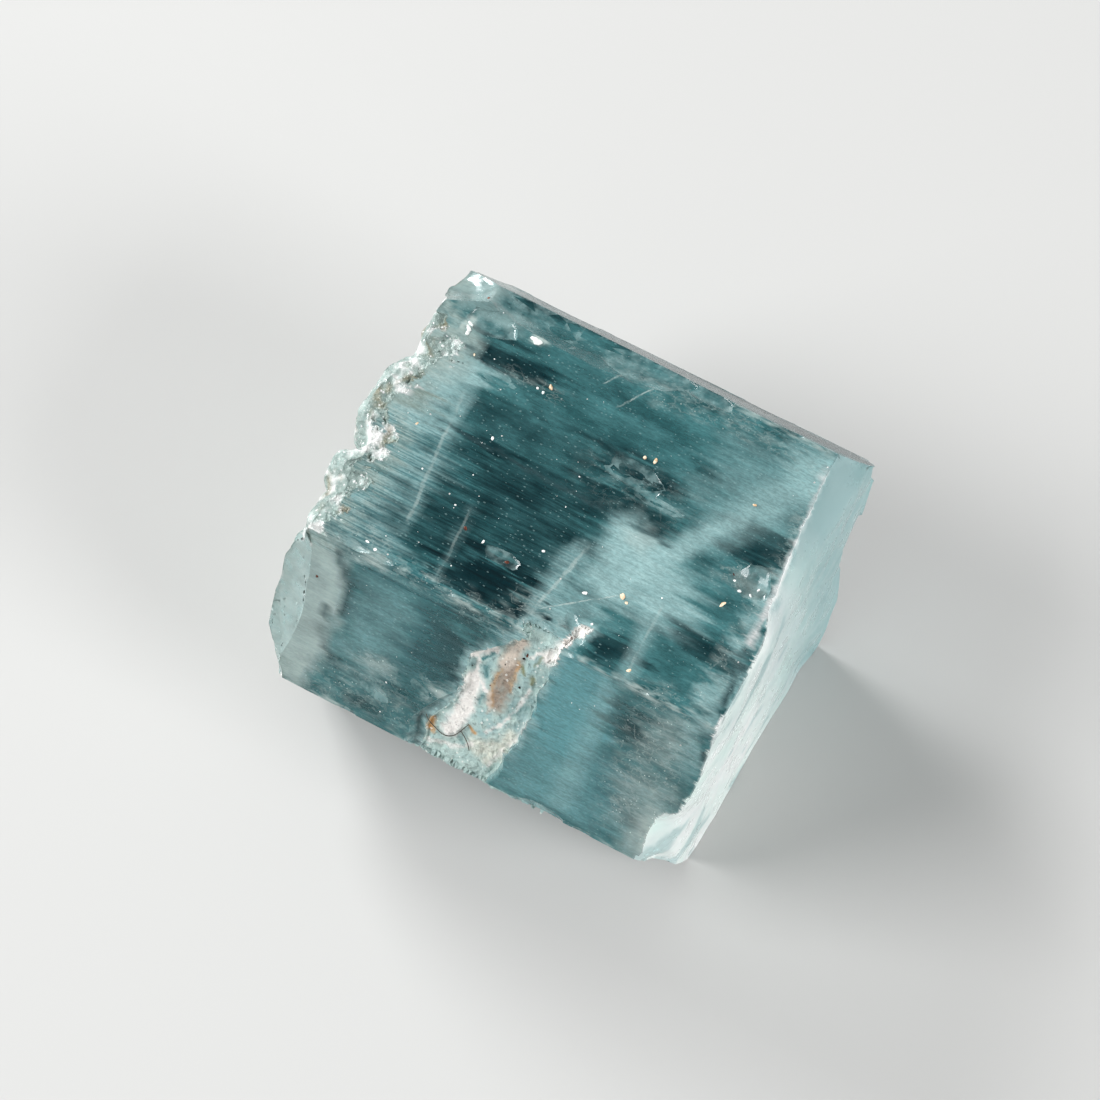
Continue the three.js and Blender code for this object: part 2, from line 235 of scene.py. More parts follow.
def mark_fringe(bm, rims):
    for face in [f for f in bm.faces if f.material_index in (SKIN, SHELL)]:
        middle = face.calc_center_median()
        beside = any(rims[kind].find(middle)[2] < reach for kind, reach in FRINGE_REACH.items())
        if beside or near_crust(middle):
            face.material_index = FRINGE


def spread_rims(bm, side):
    """Lets the broken end, the parting and the scar spread raggedly over the skin beside them."""
    rims = {kind: rim_tree(bm, kind) for kind in FRINGE_REACH}
    mark_fringe(bm, rims)
    shorten_edges(bm, FRINGE, LONGEST_FRINGE_EDGE)
    for face in [f for f in bm.faces if f.material_index == FRINGE]:
        middle = face.calc_center_median()
        ragged = max(0.15, 0.9 + 1.1 * wrinkle(1.9 * middle, 4, 0.9))
        by_broken = rims[BROKEN].find(middle)[2] < BROKEN_SPREAD * ragged
        by_parted = rims[PARTED].find(middle)[2] < PARTED_SPREAD * ragged
        face.material_index = SHELL if face[side] == NO_SIDE else SKIN
        if in_crust(middle) or in_scar(middle):
            face.material_index, face[side] = SCAR, NO_SIDE
        elif by_broken and BROKEN_ACROSS[0] < middle.y < BROKEN_ACROSS[1]:
            face.material_index, face[side] = BROKEN, NO_SIDE
        elif by_parted:
            face.material_index, face[side] = PARTED, NO_SIDE


def inner_verts(bm, kind):
    """The vertices that touch no other kind of surface."""
    return [v for v in bm.verts if v.link_faces and all(f.material_index == kind for f in v.link_faces)]


def each_once(parts):
    """These parts in their own order, without repeats, so that every run cuts them in the same way."""
    return list(dict.fromkeys(parts))


def shorten_edges(bm, kind, longest):
    """Halves the long edges round one kind of surface, again and again."""
    for _ in range(HALVINGS):
        faces = [f for f in bm.faces if f.material_index == kind]
        bmesh.ops.triangulate(bm, faces=[f for f in faces if len(f.verts) > 3])
        faces = [f for f in bm.faces if f.material_index == kind]
        edges = each_once(e for f in faces for e in f.edges if e.calc_length() > longest)
        if not edges:
            break
        bmesh.ops.subdivide_edges(bm, edges=edges, cuts=1)
    bmesh.ops.remove_doubles(bm, verts=inner_verts(bm, kind), dist=0.2 * longest)


def cut_faces(bm, faces, place, way):
    """Cuts these faces with a plane, and returns the ones beyond it."""
    edges = each_once(e for f in faces for e in f.edges)
    verts = each_once(v for f in faces for v in f.verts)
    geometry = [*verts, *edges, *faces]
    made = bmesh.ops.bisect_plane(bm, geom=geometry, dist=1e-5, plane_co=place, plane_no=way)["geom"]
    made = [part for part in made if isinstance(part, bmesh.types.BMFace)]
    return [face for face in made if (face.calc_center_median() - place).dot(way) > 0]


def rule_growth_lines(bm, side):
    """Cuts each prism face across in even steps, and then along its growth lines."""
    draw = random.Random(3)
    steps = [f for f in bm.faces if f.material_index == SKIN and f[side] == NO_SIDE]
    for step in range(1, STEP_CUTS):
        steps = cut_faces(bm, steps, ALONG * (step / STEP_CUTS - 0.5) * 2 * HALF_LENGTH, ALONG)
    for number, plan in enumerate(SIDES):
        faces = [f for f in bm.faces if f[side] == number]
        for step in range(1, int(2 * HALF_LENGTH / plan.length)):
            faces = cut_faces(bm, faces, ALONG * (step * plan.length - HALF_LENGTH), ALONG)
        sideways = across(plan.bearing + 90)
        faces = [f for f in bm.faces if f[side] == number]
        places = [v.co.dot(sideways) for f in faces for v in f.verts]
        at, last = min(places) + plan.spacing, max(places)
        while at < last and faces:
            faces = cut_faces(bm, faces, sideways * at, sideways)
            at += plan.spacing * draw.uniform(0.5, 1.5)


def growth_depth(point, number):
    """Depth of the growth lines, which fade in and out along the prism."""
    if number == NO_SIDE:
        return 0.0
    plan = SIDES[number]
    place = point.dot(across(plan.bearing + 90))
    line = noise.noise(Vector((0.12 * point.x, 37.0 * place, number)))
    patch = noise.noise(Vector((0.25 * point.x, 0.7 * place, 9.0 + number)))
    return plan.depth * (0.5 + 0.5 * line) * max(0.15, 0.6 + 1.2 * patch)


def broken_depth(point):
    """Lumps and small sharp facets of the broken end."""
    facets = noise.voronoi(4.2 * point)[0]
    return 0.05 + 0.05 * wrinkle(1.6 * point) + 0.09 * (facets[1] - facets[0])


def scar_depth(point):
    """Flakes at different depths, with crumbs over them."""
    bent = point + 0.3 * noise.noise_vector(1.5 * point)
    _, middles = noise.voronoi(Vector((3.2 * bent.x, 2.0 * bent.y, 2.0 * bent.z)))
    flake = 0.5 + 0.5 * noise.noise(7.7 * middles[0])
    return 0.05 + 0.07 * flake + 0.05 * wrinkle(2.5 * point, 5, 0.8)


def shell_depth(point):
    """Low ripples of a shell-shaped chip."""
    return 0.008 + 0.008 * math.sin(9 * point.x + 6 * point.y) + 0.012 * wrinkle(1.7 * point)


def parted_depth(point):
    """The parting's low waves."""
    return 0.04 + 0.045 * wrinkle(Vector((0, 0.55 * point.y, 0.8 * point.z)))


DEPTHS = {SHELL: shell_depth, BROKEN: broken_depth, PARTED: parted_depth, SCAR: scar_depth}


def carve_relief(bm, side):
    """Sinks the fine relief into every surface. Borders between surfaces stay where they are."""
    moves = []
    for vert in bm.verts:
        sorts = {(f.material_index, f[side]) for f in vert.link_faces}
        if len(sorts) != 1:
            continue
        kind, number = sorts.pop()
        depth = growth_depth(vert.co, number) if kind == SKIN else DEPTHS[kind](vert.co)
        outwards = ALONG if kind == PARTED and vert.normal.x > 0.3 else vert.normal
        moves.append((vert, outwards * max(0.0, depth)))
    for vert, inwards in moves:
        vert.co -= inwards
    bm.normal_update()


def smooth_parting(bm):
    """Turns the parting's triangles to lie flat together, and evens them out."""
    faces = [f for f in bm.faces if f.material_index == PARTED]
    edges = [e for e in bm.edges if e.link_faces and all(f.material_index == PARTED for f in e.link_faces)]
    bmesh.ops.beautify_fill(bm, faces=faces, edges=edges, method="ANGLE")
    verts = inner_verts(bm, PARTED)
    for _ in range(6):
        bmesh.ops.smooth_vert(bm, verts=verts, factor=0.5, use_axis_x=True, use_axis_y=True, use_axis_z=True)
    bm.normal_update()


def crystal_piece(materials):
    """The dressed crystal, and its surface as a tree that rays can be cast at."""
    bm = bmesh.new()
    bm.from_mesh(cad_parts[NODE].data)
    bm.transform(TO_FRAME.inverted())
    bmesh.ops.remove_doubles(bm, verts=bm.verts, dist=0.0005)
    side = bm.faces.layers.int.new("side")
    mark_kinds(bm, side)
    rule_growth_lines(bm, side)
    for kind in (BROKEN, PARTED, SCAR):
        shorten_edges(bm, kind, LONGEST_EDGE[kind])
    spread_rims(bm, side)
    for kind, longest in LONGEST_EDGE.items():
        shorten_edges(bm, kind, longest)
    bmesh.ops.triangulate(bm, faces=bm.faces)
    smooth_parting(bm)
    carve_relief(bm, side)
    for face in bm.faces:
        face.smooth = face.material_index in (SHELL, PARTED)
    surface = BVHTree.FromBMesh(bm)
    piece = finished(bm, "crystal", materials)
    paint(piece.data)
    return piece, surface


def finished(bm, name, materials):
    """Moves a piece into the frame's place, keeps it in the solid's box, and makes it an object."""
    bm.transform(TO_FRAME)
    low, high = cad_box
    for vert in bm.verts:
        vert.co = [min(max(value, a), b) for value, a, b in zip(vert.co, low, high)]
    mesh = bpy.data.meshes.new(name)
    bm.to_mesh(mesh)
    bm.free()
    for material in materials:
        mesh.materials.append(material)
    piece = bpy.data.objects.new(name, mesh)
    bpy.context.scene.collection.objects.link(piece)
    return piece


# ------------------------------------------------------------------ colours painted on the crystal

DEEP_TEAL = (0.0, 0.03, 0.038)
TEAL = (0.055, 0.205, 0.216)
LIGHT_TEAL = (0.17, 0.48, 0.5)
GREY_TEAL = (0.3, 0.48, 0.49)
PALE_TEAL = (0.56, 0.86, 0.86)
FROST = (0.83, 0.98, 0.93)
CLEAR_BLUE = (0.2, 0.62, 0.68)
DUST = (0.95, 0.95, 0.9)
MILKY = (0.97, 1.0, 0.99)
CRUMB_WHITE = (0.95, 0.96, 0.94)
LEDGE = (0.52, 0.67, 0.63)
LUMP = (0.33, 0.43, 0.4)
SHADOW = (0.05, 0.11, 0.12)
TAN = (0.33, 0.29, 0.18)
CLAY = (0.94, 0.91, 0.87)
PINK_CLAY = (0.74, 0.65, 0.56)
BROWN = (0.36, 0.29, 0.23)
ORANGE = (0.58, 0.32, 0.12)
OLIVE = (0.22, 0.24, 0.12)
YELLOWISH = (0.8, 0.83, 0.73)

# Clouds of colour in the crystal: middle, radii, strength and softness of the edge.
DARK_CLOUDS = [
    ((-0.9, -2.9, 3.9), (1.35, 0.7, 1.4), 1.0, 0.14),
    ((-2.9, -2.1, 3.9), (1.4, 0.9, 1.6), 0.7, 0.5),
    ((-1.0, 0.0, 3.9), (2.2, 1.2, 1.8), 0.75, 0.6),
    ((-1.8, 1.2, 3.9), (2.2, 0.9, 1.8), 0.5, 0.6),
    ((-0.2, -1.2, 3.9), (1.2, 0.7, 1.5), 0.6, 0.4),
    ((0.9, 0.8, 3.9), (1.6, 0.45, 1.5), 0.85, 0.4),
    ((0.9, 1.9, 3.9), (1.3, 0.4, 1.4), 0.85, 0.4),
    ((-2.8, 0.62, 3.9), (1.6, 0.1, 1.0), 0.95, 0.4),
    ((0.6, -0.1, 3.9), (0.9, 0.3, 1.2), 0.7, 0.4),
    ((4.9, 1.5, 3.9), (1.0, 0.55, 1.4), 0.9, 0.5),
    ((5.0, -1.8, 3.9), (1.1, 0.4, 1.4), 0.85, 0.5),
    ((2.7, -3.15, 3.8), (0.8, 0.42, 1.0), 0.9, 0.25),
    ((-3.3, 3.15, 3.9), (1.3, 0.32, 1.2), 1.0, 0.45),
    ((-4.6, 3.7, 3.9), (1.0, 0.1, 0.8), 0.8, 0.4),
    ((1.5, 5.75, 2.7), (6.0, 0.5, 1.2), 0.8, 0.3),
    ((-1.5, -4.4, 2.6), (0.9, 0.8, 1.3), 0.7, 0.5),
    ((-2.2, -5.3, 1.0), (1.0, 0.7, 1.0), 0.3, 0.6),
    ((-3.9, -4.2, 3.0), (0.5, 0.6, 1.0), 0.35, 0.5),
    ((3.9, -4.2, 3.0), (0.7, 0.4, 0.6), 0.5, 0.5),
    ((4.1, -5.3, 1.1), (0.7, 0.5, 0.9), 0.4, 0.6),
]
PALE_CLOUDS = [
    ((2.2, -0.3, 3.9), (0.8, 0.75, 1.5), 1.0, 0.4),
    ((2.8, -0.9, 3.9), (1.4, 0.9, 1.5), 0.9, 0.5),
    ((1.3, -2.1, 3.9), (0.9, 0.9, 1.5), 0.5, 0.4),
    ((1.1, -3.1, 3.9), (0.55, 0.7, 1.2), 0.7, 0.3),
    ((5.2, 4.0, 3.9), (0.9, 1.0, 1.5), 0.6, 0.5),
    ((-5.3, 1.2, 3.9), (1.1, 1.7, 1.8), 0.85, 0.6),
    ((-5.1, -1.5, 3.9), (1.3, 1.5, 1.8), 0.85, 0.6),
    ((-4.55, 2.4, 3.9), (0.6, 0.4, 1.2), 0.9, 0.4),
    ((-4.2, -3.1, 3.9), (0.8, 0.5, 1.2), 0.6, 0.4),
    ((4.2, 3.0, 3.9), (1.5, 1.2, 1.5), 0.35, 0.6),
    ((2.45, -4.5, 2.5), (1.0, 1.1, 1.7), 0.3, 0.3),
    ((2.6, -5.6, 0.6), (1.6, 0.8, 1.5), 0.25, 0.4),
    ((-3.4, -4.8, 2.0), (0.9, 1.0, 1.8), 0.35, 0.5),
    ((6.0, -1.0, 3.9), (0.35, 5.0, 1.6), 0.6, 0.5),
    ((0.9, -3.9, 3.6), (0.6, 0.35, 0.7), 0.8, 0.4),
]
BLUE_CLOUDS = [
    ((2.45, -4.5, 2.5), (1.0, 1.1, 1.7), 0.55, 0.3),
    ((-2.8, -4.5, 2.5), (1.4, 1.1, 1.8), 0.15, 0.5),
    ((3.0, -5.6, 0.6), (1.6, 0.8, 1.5), 0.35, 0.5),
]
FROST_AND_GLINT_CLOUDS = [
    ((-5.9, -5.0, 1.6), (1.35, 1.7, 2.6), 0.75, 0.14),
    ((-6.1, 5.2, 3.2), (1.2, 1.1, 1.3), 0.5, 0.25),
    ((-4.9, 4.4, 3.7), (1.0, 0.4, 0.7), 0.35, 0.4),
    # Painted glints: this cloud and the next are small white spots that stand for highlights on the far left
    # of the top.
    ((-5.17, 3.6, 3.9), (0.16, 0.3, 0.5), 1.0, 0.3),
    ((-3.35, 4.15, 3.8), (0.28, 0.13, 0.5), 1.0, 0.3),
    ((-5.3, 2.6, 3.9), (0.7, 0.9, 0.7), 0.4, 0.5),
    ((5.8, -5.8, 0.3), (0.6, 0.6, 1.3), 0.8, 0.7),
    ((5.2, -5.4, 0.9), (0.8, 0.7, 1.1), 0.3, 0.5),
    ((5.2, -4.2, 2.9), (0.5, 0.5, 0.9), 0.3, 0.5),
    ((2.0, 0.15, 3.9), (0.5, 0.3, 0.9), 0.35, 0.5),
    ((-3.1, -5.43, 0.87), (0.4, 0.2, 0.25), 0.35, 0.5),
    ((-1.0, -5.28, 1.12), (0.4, 0.1, 0.15), 0.75, 0.5),
    ((-4.0, -3.7, 3.85), (0.4, 0.12, 0.3), 0.8, 0.5),
    # A painted glint: a white patch that stands for the glinting facets of the pit.
    ((5.2, 0.4, 3.9), (0.4, 0.25, 0.5), 0.5, 0.7),
]
# Brownish smudges beside the broken end.
SMUDGES = [
    ((-5.4, 0.9, 3.9), (0.5, 0.3, 1.0), 0.5, 0.6),
    ((-5.3, -1.3, 3.9), (0.5, 0.5, 1.0), 0.45, 0.6),
    ((-5.5, 2.6, 3.9), (0.35, 0.3, 1.0), 0.4, 0.6),
]
# Pale veils, the healed cracks: the points that each runs through, its half width and its strength.
VEILS = [
    ([(1.9, -1.5, 3.9), (2.6, -0.3, 3.9), (3.3, 0.8, 3.9), (4.2, 2.3, 3.9)], 0.3, 0.9),
    ([(3.6, 1.2, 3.9), (4.6, 3.0, 3.9), (5.6, 4.6, 3.9)], 0.5, 0.55),
    ([(3.3, -0.9, 3.9), (3.6, -3.6, 3.9)], 0.22, 0.5),
    ([(1.5, 0.4, 3.9), (1.65, -1.2, 3.9)], 0.4, 0.8),
    ([(-4.2, 1.9, 3.9), (-3.7, -2.5, 3.9)], 0.16, 0.4),
    ([(-2.3, -1.2, 3.9), (-2.2, -3.6, 3.9)], 0.12, 0.25),
    ([(0.75, -0.9, 3.9), (0.5, -2.4, 3.9), (0.7, -3.7, 3.9)], 0.25, 0.6),
    ([(3.3, -3.9, 3.5), (3.2, -5.0, 1.6), (3.0, -6.0, -0.1)], 0.3, 0.3),
]
# Painted shade: dark lines, given in the same way, along the fold of the top, at small scarps and on the
# parting's shadowed rim.
SHADE_LINES = [
    ([(-4.1, 0.66, 3.9), (-1.0, 0.52, 3.9), (2.8, 0.43, 3.9)], 0.07, 0.7),
    ([(-4.88, -3.9, 3.53), (-4.38, -4.34, 2.76), (-4.42, -4.82, 1.92)], 0.13, 0.75),
    ([(-4.83, -4.83, 1.91), (-4.66, -5.4, 0.92), (-4.2, -5.68, 0.43)], 0.1, 0.75),
    ([(6.05, -1.3, 3.9), (6.25, -2.9, 3.9), (6.35, -4.2, 3.0)], 0.09, 0.9),
    ([(-5.6, 3.05, 3.9), (-4.5, 3.0, 3.9), (-3.0, 2.7, 3.9)], 0.06, 0.6),
]
# A painted highlight: the bright line along the crest between the top and the parting.
CREST_WAY = [(5.4, 4.6, 3.9), (5.71, 2.45, 3.9), (5.86, 1.25, 3.9), (5.92, -0.11, 3.9), (6.06, -1.08, 3.9)]
CREST_HIGHLIGHT = [(CREST_WAY, 0.09, 1.0)]
# Where fine white fractures run through the crystal.
FRACTURED_CLOUDS = [
    ((5.0, -4.9, 1.8), (1.0, 1.3, 2.2), 1.0, 0.4),
    ((4.9, -3.7, 3.6), (0.9, 0.5, 0.6), 0.8, 0.4),
    ((0.6, -3.3, 3.8), (0.9, 0.7, 0.8), 1.0, 0.3),
    ((1.0, -4.2, 3.1), (0.9, 0.6, 0.9), 0.7, 0.3),
    ((-4.2, -3.4, 3.8), (0.8, 0.5, 0.6), 0.9, 0.4),
    ((-3.3, -5.9, 0.0), (2.6, 0.5, 0.6), 0.7, 0.4),
    ((-1.8, -3.66, 3.9), (3.0, 0.3, 0.35), 0.8, 0.4),
    ((-3.1, -5.43, 0.87), (0.7, 0.35, 0.5), 1.0, 0.4),
    ((-1.1, -5.3, 1.1), (0.6, 0.3, 0.4), 1.0, 0.4),
    ((4.9, 0.5, 3.9), (0.7, 0.45, 0.8), 1.0, 0.3),
    ((5.75, 0.5, 3.9), (0.3, 4.5, 0.8), 0.8, 0.4),
    ((1.3, 1.4, 3.9), (1.7, 0.8, 0.8), 0.3, 0.5),
    ((2.2, 4.5, 3.8), (3.5, 0.35, 0.8), 0.7, 0.4),
    ((-2.7, 2.9, 3.9), (0.9, 0.2, 0.5), 0.8, 0.4),
    ((-5.3, -0.5, 3.9), (0.6, 3.2, 0.8), 0.7, 0.4),
]

# Stains of the scar, in the order in which they lie over each other: colour, then strips.
# A strip is the points it runs through, as place along the prism and distance below the near
# top edge, its half width and its strength.
SCAR_STAINS = [
    (LEDGE, [([(-0.7, 5.0), (0.9, 4.7)], 0.7, 0.7), ([(0.5, 0.2), (1.4, 0.3)], 0.2, 0.6)]),
    (BROWN, [([(0.5, 1.2), (0.48, 1.8), (0.48, 2.3), (0.42, 2.8)], 0.26, 1.0)]),
    (ORANGE, [
        ([(0.27, 1.7), (0.22, 2.3), (0.38, 3.0)], 0.05, 0.5),
        ([(0.72, 1.2), (0.7, 2.2)], 0.05, 0.5),
    ]),
    (PINK_CLAY, [
        ([(0.64, 0.5), (0.5, 0.9), (0.33, 1.45)], 0.19, 1.0),
        ([(0.2, 2.5), (0.3, 3.2)], 0.07, 0.7),
    ]),
    (YELLOWISH, [([(0.35, 4.5), (0.8, 4.3)], 0.33, 0.9), ([(1.15, 3.55), (0.65, 4.8)], 0.17, 0.9)]),
    (CLAY, [
        ([(-0.31, 2.35), (-0.36, 2.9), (-0.33, 3.35), (-0.45, 3.85), (-0.62, 4.35)], 0.22, 1.2),
        ([(-0.7, 1.6), (-0.4, 1.42), (-0.06, 1.15)], 0.13, 1.2),
        ([(-0.4, 1.56), (-0.35, 2.04)], 0.06, 0.8),
        ([(-0.36, 2.15), (0.08, 2.5)], 0.07, 1.0),
        ([(1.22, 1.9), (1.06, 2.6), (0.75, 3.4), (0.4, 3.8)], 0.05, 0.8),
        ([(0.95, 0.9), (1.25, 0.55), (1.5, 0.4)], 0.04, 0.8),
        ([(1.47, 2.8), (1.3, 3.5), (0.7, 5.0)], 0.06, 0.6),
        ([(-1.1, 5.1), (-0.3, 4.9), (0.1, 4.5)], 0.08, 0.7),
        ([(1.45, 0.6), (1.85, 0.0), (1.75, -0.2), (2.05, -0.47)], 0.2, 1.0),
    ]),
    (TEAL, [
        ([(-0.12, 1.85), (-0.07, 2.1)], 0.09, 0.9),
        ([(0.0, 2.75), (0.0, 3.0)], 0.06, 0.6),
        ([(-0.25, 1.6), (-0.03, 1.32)], 0.045, 1.0),
        ([(-0.3, 4.5), (-0.15, 4.7)], 0.07, 0.5),
        ([(0.95, 2.9), (1.3, 2.5)], 0.12, 0.5),
    ]),
    (ORANGE, [([(-0.02, 3.88), (0.12, 4.02)], 0.08, 1.0), ([(-1.15, 4.3), (-1.05, 4.7)], 0.09, 0.9)]),
    (OLIVE, [
        ([(0.84, 1.3), (0.96, 1.42)], 0.06, 0.8),
        ([(1.2, 1.4), (1.22, 1.65)], 0.07, 0.7),
        ([(1.27, 0.7), (1.18, 1.0)], 0.05, 0.6),
    ]),
]


def wandered(places, squeeze, reach):
    """These places, each moved about by noise in which lengths are divided by the squeeze."""
    squeeze, reach = Vector(squeeze), Vector(reach)
    moved = []
    for place in places:
        at = place * squeeze
        moved.append(place + reach * (noise.noise_vector(at) + 0.5 * noise.noise_vector(2.3 * at)))
    return numpy.array(moved)


def patches(places, squeeze, octaves=4):
    """Noise from 0 to 1 at these places, in which lengths are divided by the squeeze."""
    squeeze = Vector(squeeze)
    heights = numpy.array([wrinkle(place * squeeze, octaves, 0.8) for place in places])
    return numpy.clip(0.5 + 0.75 * heights, 0, 1)


def cloud_amount(places, clouds, fringe=0.0):
    """How much of any of these clouds there is at each place. The fringe frays their edges."""
    total = numpy.zeros(len(places))
    for middle, radii, strength, softness in clouds:
        reach = (((places - middle) / radii) ** 4).sum(axis=1) ** 0.25
        share = numpy.clip((1 + softness + fringe - reach) / (2 * softness), 0, 1)
        total = numpy.maximum(total, strength * share * share * (3 - 2 * share))
    return total


def line_amount(places, lines):
    """How much of any of these lines there is at each place."""
    total = numpy.zeros(len(places))
    for points, width, strength in lines:
        for start, end in zip(points, points[1:]):
            way = numpy.subtract(end, start)
            offset = places - start
            share = numpy.clip(offset @ way / (way @ way), 0, 1)
            distance = numpy.linalg.norm(offset - share[:, None] * way, axis=1)
            total = numpy.maximum(total, strength * numpy.clip(1.5 - distance / width, 0, 1))
    return total


def nearness(places, chosen, reach):
    """1 at the chosen places, and 0 from this far away on."""
    tree = KDTree(int(chosen.sum()))
    for number, place in enumerate(places[chosen]):
        tree.insert(place, number)
    tree.balance()
    return numpy.array([max(0.0, 1 - tree.find(place)[2] / reach) for place in places])


def edge_nearness(places):
    """1 on the prism's long edges, and 0 a little way from them."""
    distances = [numpy.hypot(places[:, 1] - y, places[:, 2] - z) for y, z in EDGES_ACROSS]
    return numpy.clip(1.2 - numpy.min(distances, axis=0) / 0.22, 0, 1)


def plain(places, colour):
    return numpy.tile(colour, (len(places), 1))


def painted(tints, amount, colour):
    """These tints with some of a colour laid over each."""
    amount = numpy.clip(amount, 0, 1)[:, None]
    return tints * (1 - amount) + numpy.array(colour) * amount


def frost_and_glint_amount(places, lumpy, mottle):
    """Where the crystal is frosted, in its frosted clouds and here and there on its long edges, and where
    white spots are painted as glints.
    """
    clouds = cloud_amount(lumpy, FROST_AND_GLINT_CLOUDS) * (0.75 + 0.25 * mottle)
    edges = edge_nearness(places) * patches(places, (3, 5, 5))
    return numpy.maximum(clouds, numpy.clip(1.6 * edges - 0.5, 0, 0.6))


def streaked_amount(places, frost_and_glints):
    """How strong the fine streaks are: strongest on the near left of the top, and faint where the crystal is
    frosted or has painted glints.
    """
    near_left = numpy.clip((0.5 - places[:, 1]) / 0.3, 0, 1) * numpy.clip((1.5 - places[:, 0]) / 2.0, 0, 1)
    on_top = places[:, 2] > TOP.reach - 0.5
    return numpy.where(on_top, 0.25 + 0.75 * near_left, 0.25) * (1 - 0.8 * frost_and_glints)


def beryl_tints(places):
    """The crystal's own colour with a few painted glints, and how fractured and how streaked it is."""
    streaky = wandered(places, (0.8, 3.5, 3.5), (0.6, 0.22, 0.22))
    lumpy = wandered(places, (1.5, 1.5, 1.5), (0.3, 0.3, 0.3))
    broad = patches(places, (0.35, 1.7, 1.7))
    mottle = patches(places, (1.2, 2.2, 2.2))
    hairs = patches(places, (0.4, 7, 7), 3) - 0.5
    blotches = numpy.clip(3.0 * patches(places, (3, 5, 5)) - 1.4, 0, 1)
    fractured = cloud_amount(lumpy, FRACTURED_CLOUDS)
    frost_and_glints = frost_and_glint_amount(places, lumpy, mottle)
    pale = cloud_amount(streaky, PALE_CLOUDS, 0.5 * hairs) * (0.75 + 0.25 * mottle)
    dark = cloud_amount(streaky, DARK_CLOUDS, 0.9 * hairs) * (1.05 - 0.25 * mottle)
    veils = line_amount(0.5 * (places + lumpy), VEILS) * (0.7 + 0.3 * mottle)
    tints = plain(places, TEAL)
    for amount, colour in (
        (0.6 * broad, DEEP_TEAL),
        (0.5 * mottle, LIGHT_TEAL),
        (pale, PALE_TEAL),
        (dark, DEEP_TEAL),
        (cloud_amount(streaky, BLUE_CLOUDS, 0.5 * hairs), CLEAR_BLUE),
        (veils, PALE_TEAL),
        (0.25 * fractured * blotches, FROST),
        (cloud_amount(streaky, SMUDGES, 0.9 * hairs), TAN),
        (frost_and_glints, FROST),
    ):
        tints = painted(tints, amount, colour)
    return tints, fractured, streaked_amount(places, frost_and_glints)


def broken_tints(places):
    """Grey-green lumps with paler ones, white crumbs and a little tan dirt."""
    tints = painted(plain(places, LUMP), 2.0 * patches(places, (1.1, 1.1, 1.1)) - 0.8, LEDGE)
    tints = painted(tints, 2.6 * patches(places, (2.2, 2.2, 2.2)) - 1.4, CRUMB_WHITE)
    return painted(tints, 2.2 * patches(places, (1.9, 1.3, 1.9), 3) - 1.5, TAN)


def parted_tints(places):
    """Milky, and greyer towards the far edge and the top."""
    y, z = places[:, 1], places[:, 2]
    upward = numpy.clip((z + 3.9) / 7.8, 0, 1)
    tints = painted(plain(places, FROST), patches(places, (0.9, 0.7, 0.7)), MILKY)
    tints = painted(tints, 0.9 * numpy.clip((y + 1.0) / 4, 0, 1), GREY_TEAL)
    tints = painted(tints, numpy.clip(3.0 * patches(places, (0.8, 0.6, 1.1), 3) - 2.1, 0, 0.6), GREY_TEAL)
    return painted(tints, 0.35 * upward * patches(places, (0.5, 0.4, 0.9), 3), TEAL)


def scar_tints(places):
    """Clay, ledges and stains of the scar."""
    ragged = wandered(places, (5, 5, 5), (0.07, 0.07, 0.07))
    below = (ragged - numpy.array(NEAR_EDGE)) @ numpy.array(NEAR_DOWN)
    flat = numpy.stack([ragged[:, 0], below], axis=1)
    grain = patches(places, (3.5, 3.5, 3.5))
    tints = painted(plain(places, GREY_TEAL), 0.2 + 0.8 * grain, LEDGE)
    for colour, strips in SCAR_STAINS:
        tints = painted(tints, line_amount(flat, strips) * (0.75 + 0.5 * grain), colour)
    return tints


def vertex_kinds(mesh):
    """The kind of surface at each vertex. On a border it is the one with the highest number."""
    kinds = numpy.zeros(len(mesh.vertices), dtype=int)
    for face in mesh.polygons:
        for index in face.vertices:
            kinds[index] = max(kinds[index], face.material_index)
    return kinds


def paint(mesh):
    """Keeps the tint, and how fractured and how streaked the crystal is, as attributes of its mesh."""
    points = numpy.zeros(3 * len(mesh.vertices))
    mesh.vertices.foreach_get("co", points)
    places = numpy.array([TO_FRAME.inverted() @ Vector(point) for point in points.reshape(-1, 3)])
    kinds = vertex_kinds(mesh)
    tints, fractured, streaked = beryl_tints(places)
    ragged = 1.6 * patches(places, (2.5, 4, 4))
    tints = painted(tints, nearness(places, kinds == BROKEN, 0.6) * ragged, LEDGE)
    tints = painted(tints, 0.8 * nearness(places, kinds == SCAR, 0.25) * ragged, PALE_TEAL)
    for kind, tints_of in ((BROKEN, broken_tints), (PARTED, parted_tints), (SCAR, scar_tints)):
        chosen = kinds == kind
        tints[chosen] = tints_of(places[chosen])
    # Last come the crest's painted highlight and the painted shade lines, kept off the scar.
    wavy = wandered(places, (2.5, 2.5, 2.5), (0.1, 0.1, 0.1))
    for lines, colour in ((CREST_HIGHLIGHT, MILKY), (SHADE_LINES, SHADOW)):
        tints = painted(tints, numpy.where(kinds == SCAR, 0.0, line_amount(wavy, lines)), colour)
    colours = numpy.ones((len(places), 4))
    colours[:, :3] = tints
    mesh.attributes.new("tint", "FLOAT_COLOR", "POINT").data.foreach_set("color", colours.ravel())
    for name, values in (("fractured", fractured), ("streaked", streaked)):
        mesh.attributes.new(name, "FLOAT", "POINT").data.foreach_set("value", values)


# ------------------------------------------------------------------ shader helpers

# The Mix node's colour sockets by number, because its other sockets have the same names.
FIRST_COLOUR, SECOND_COLOUR, MIXED_COLOUR = 6, 7, 2


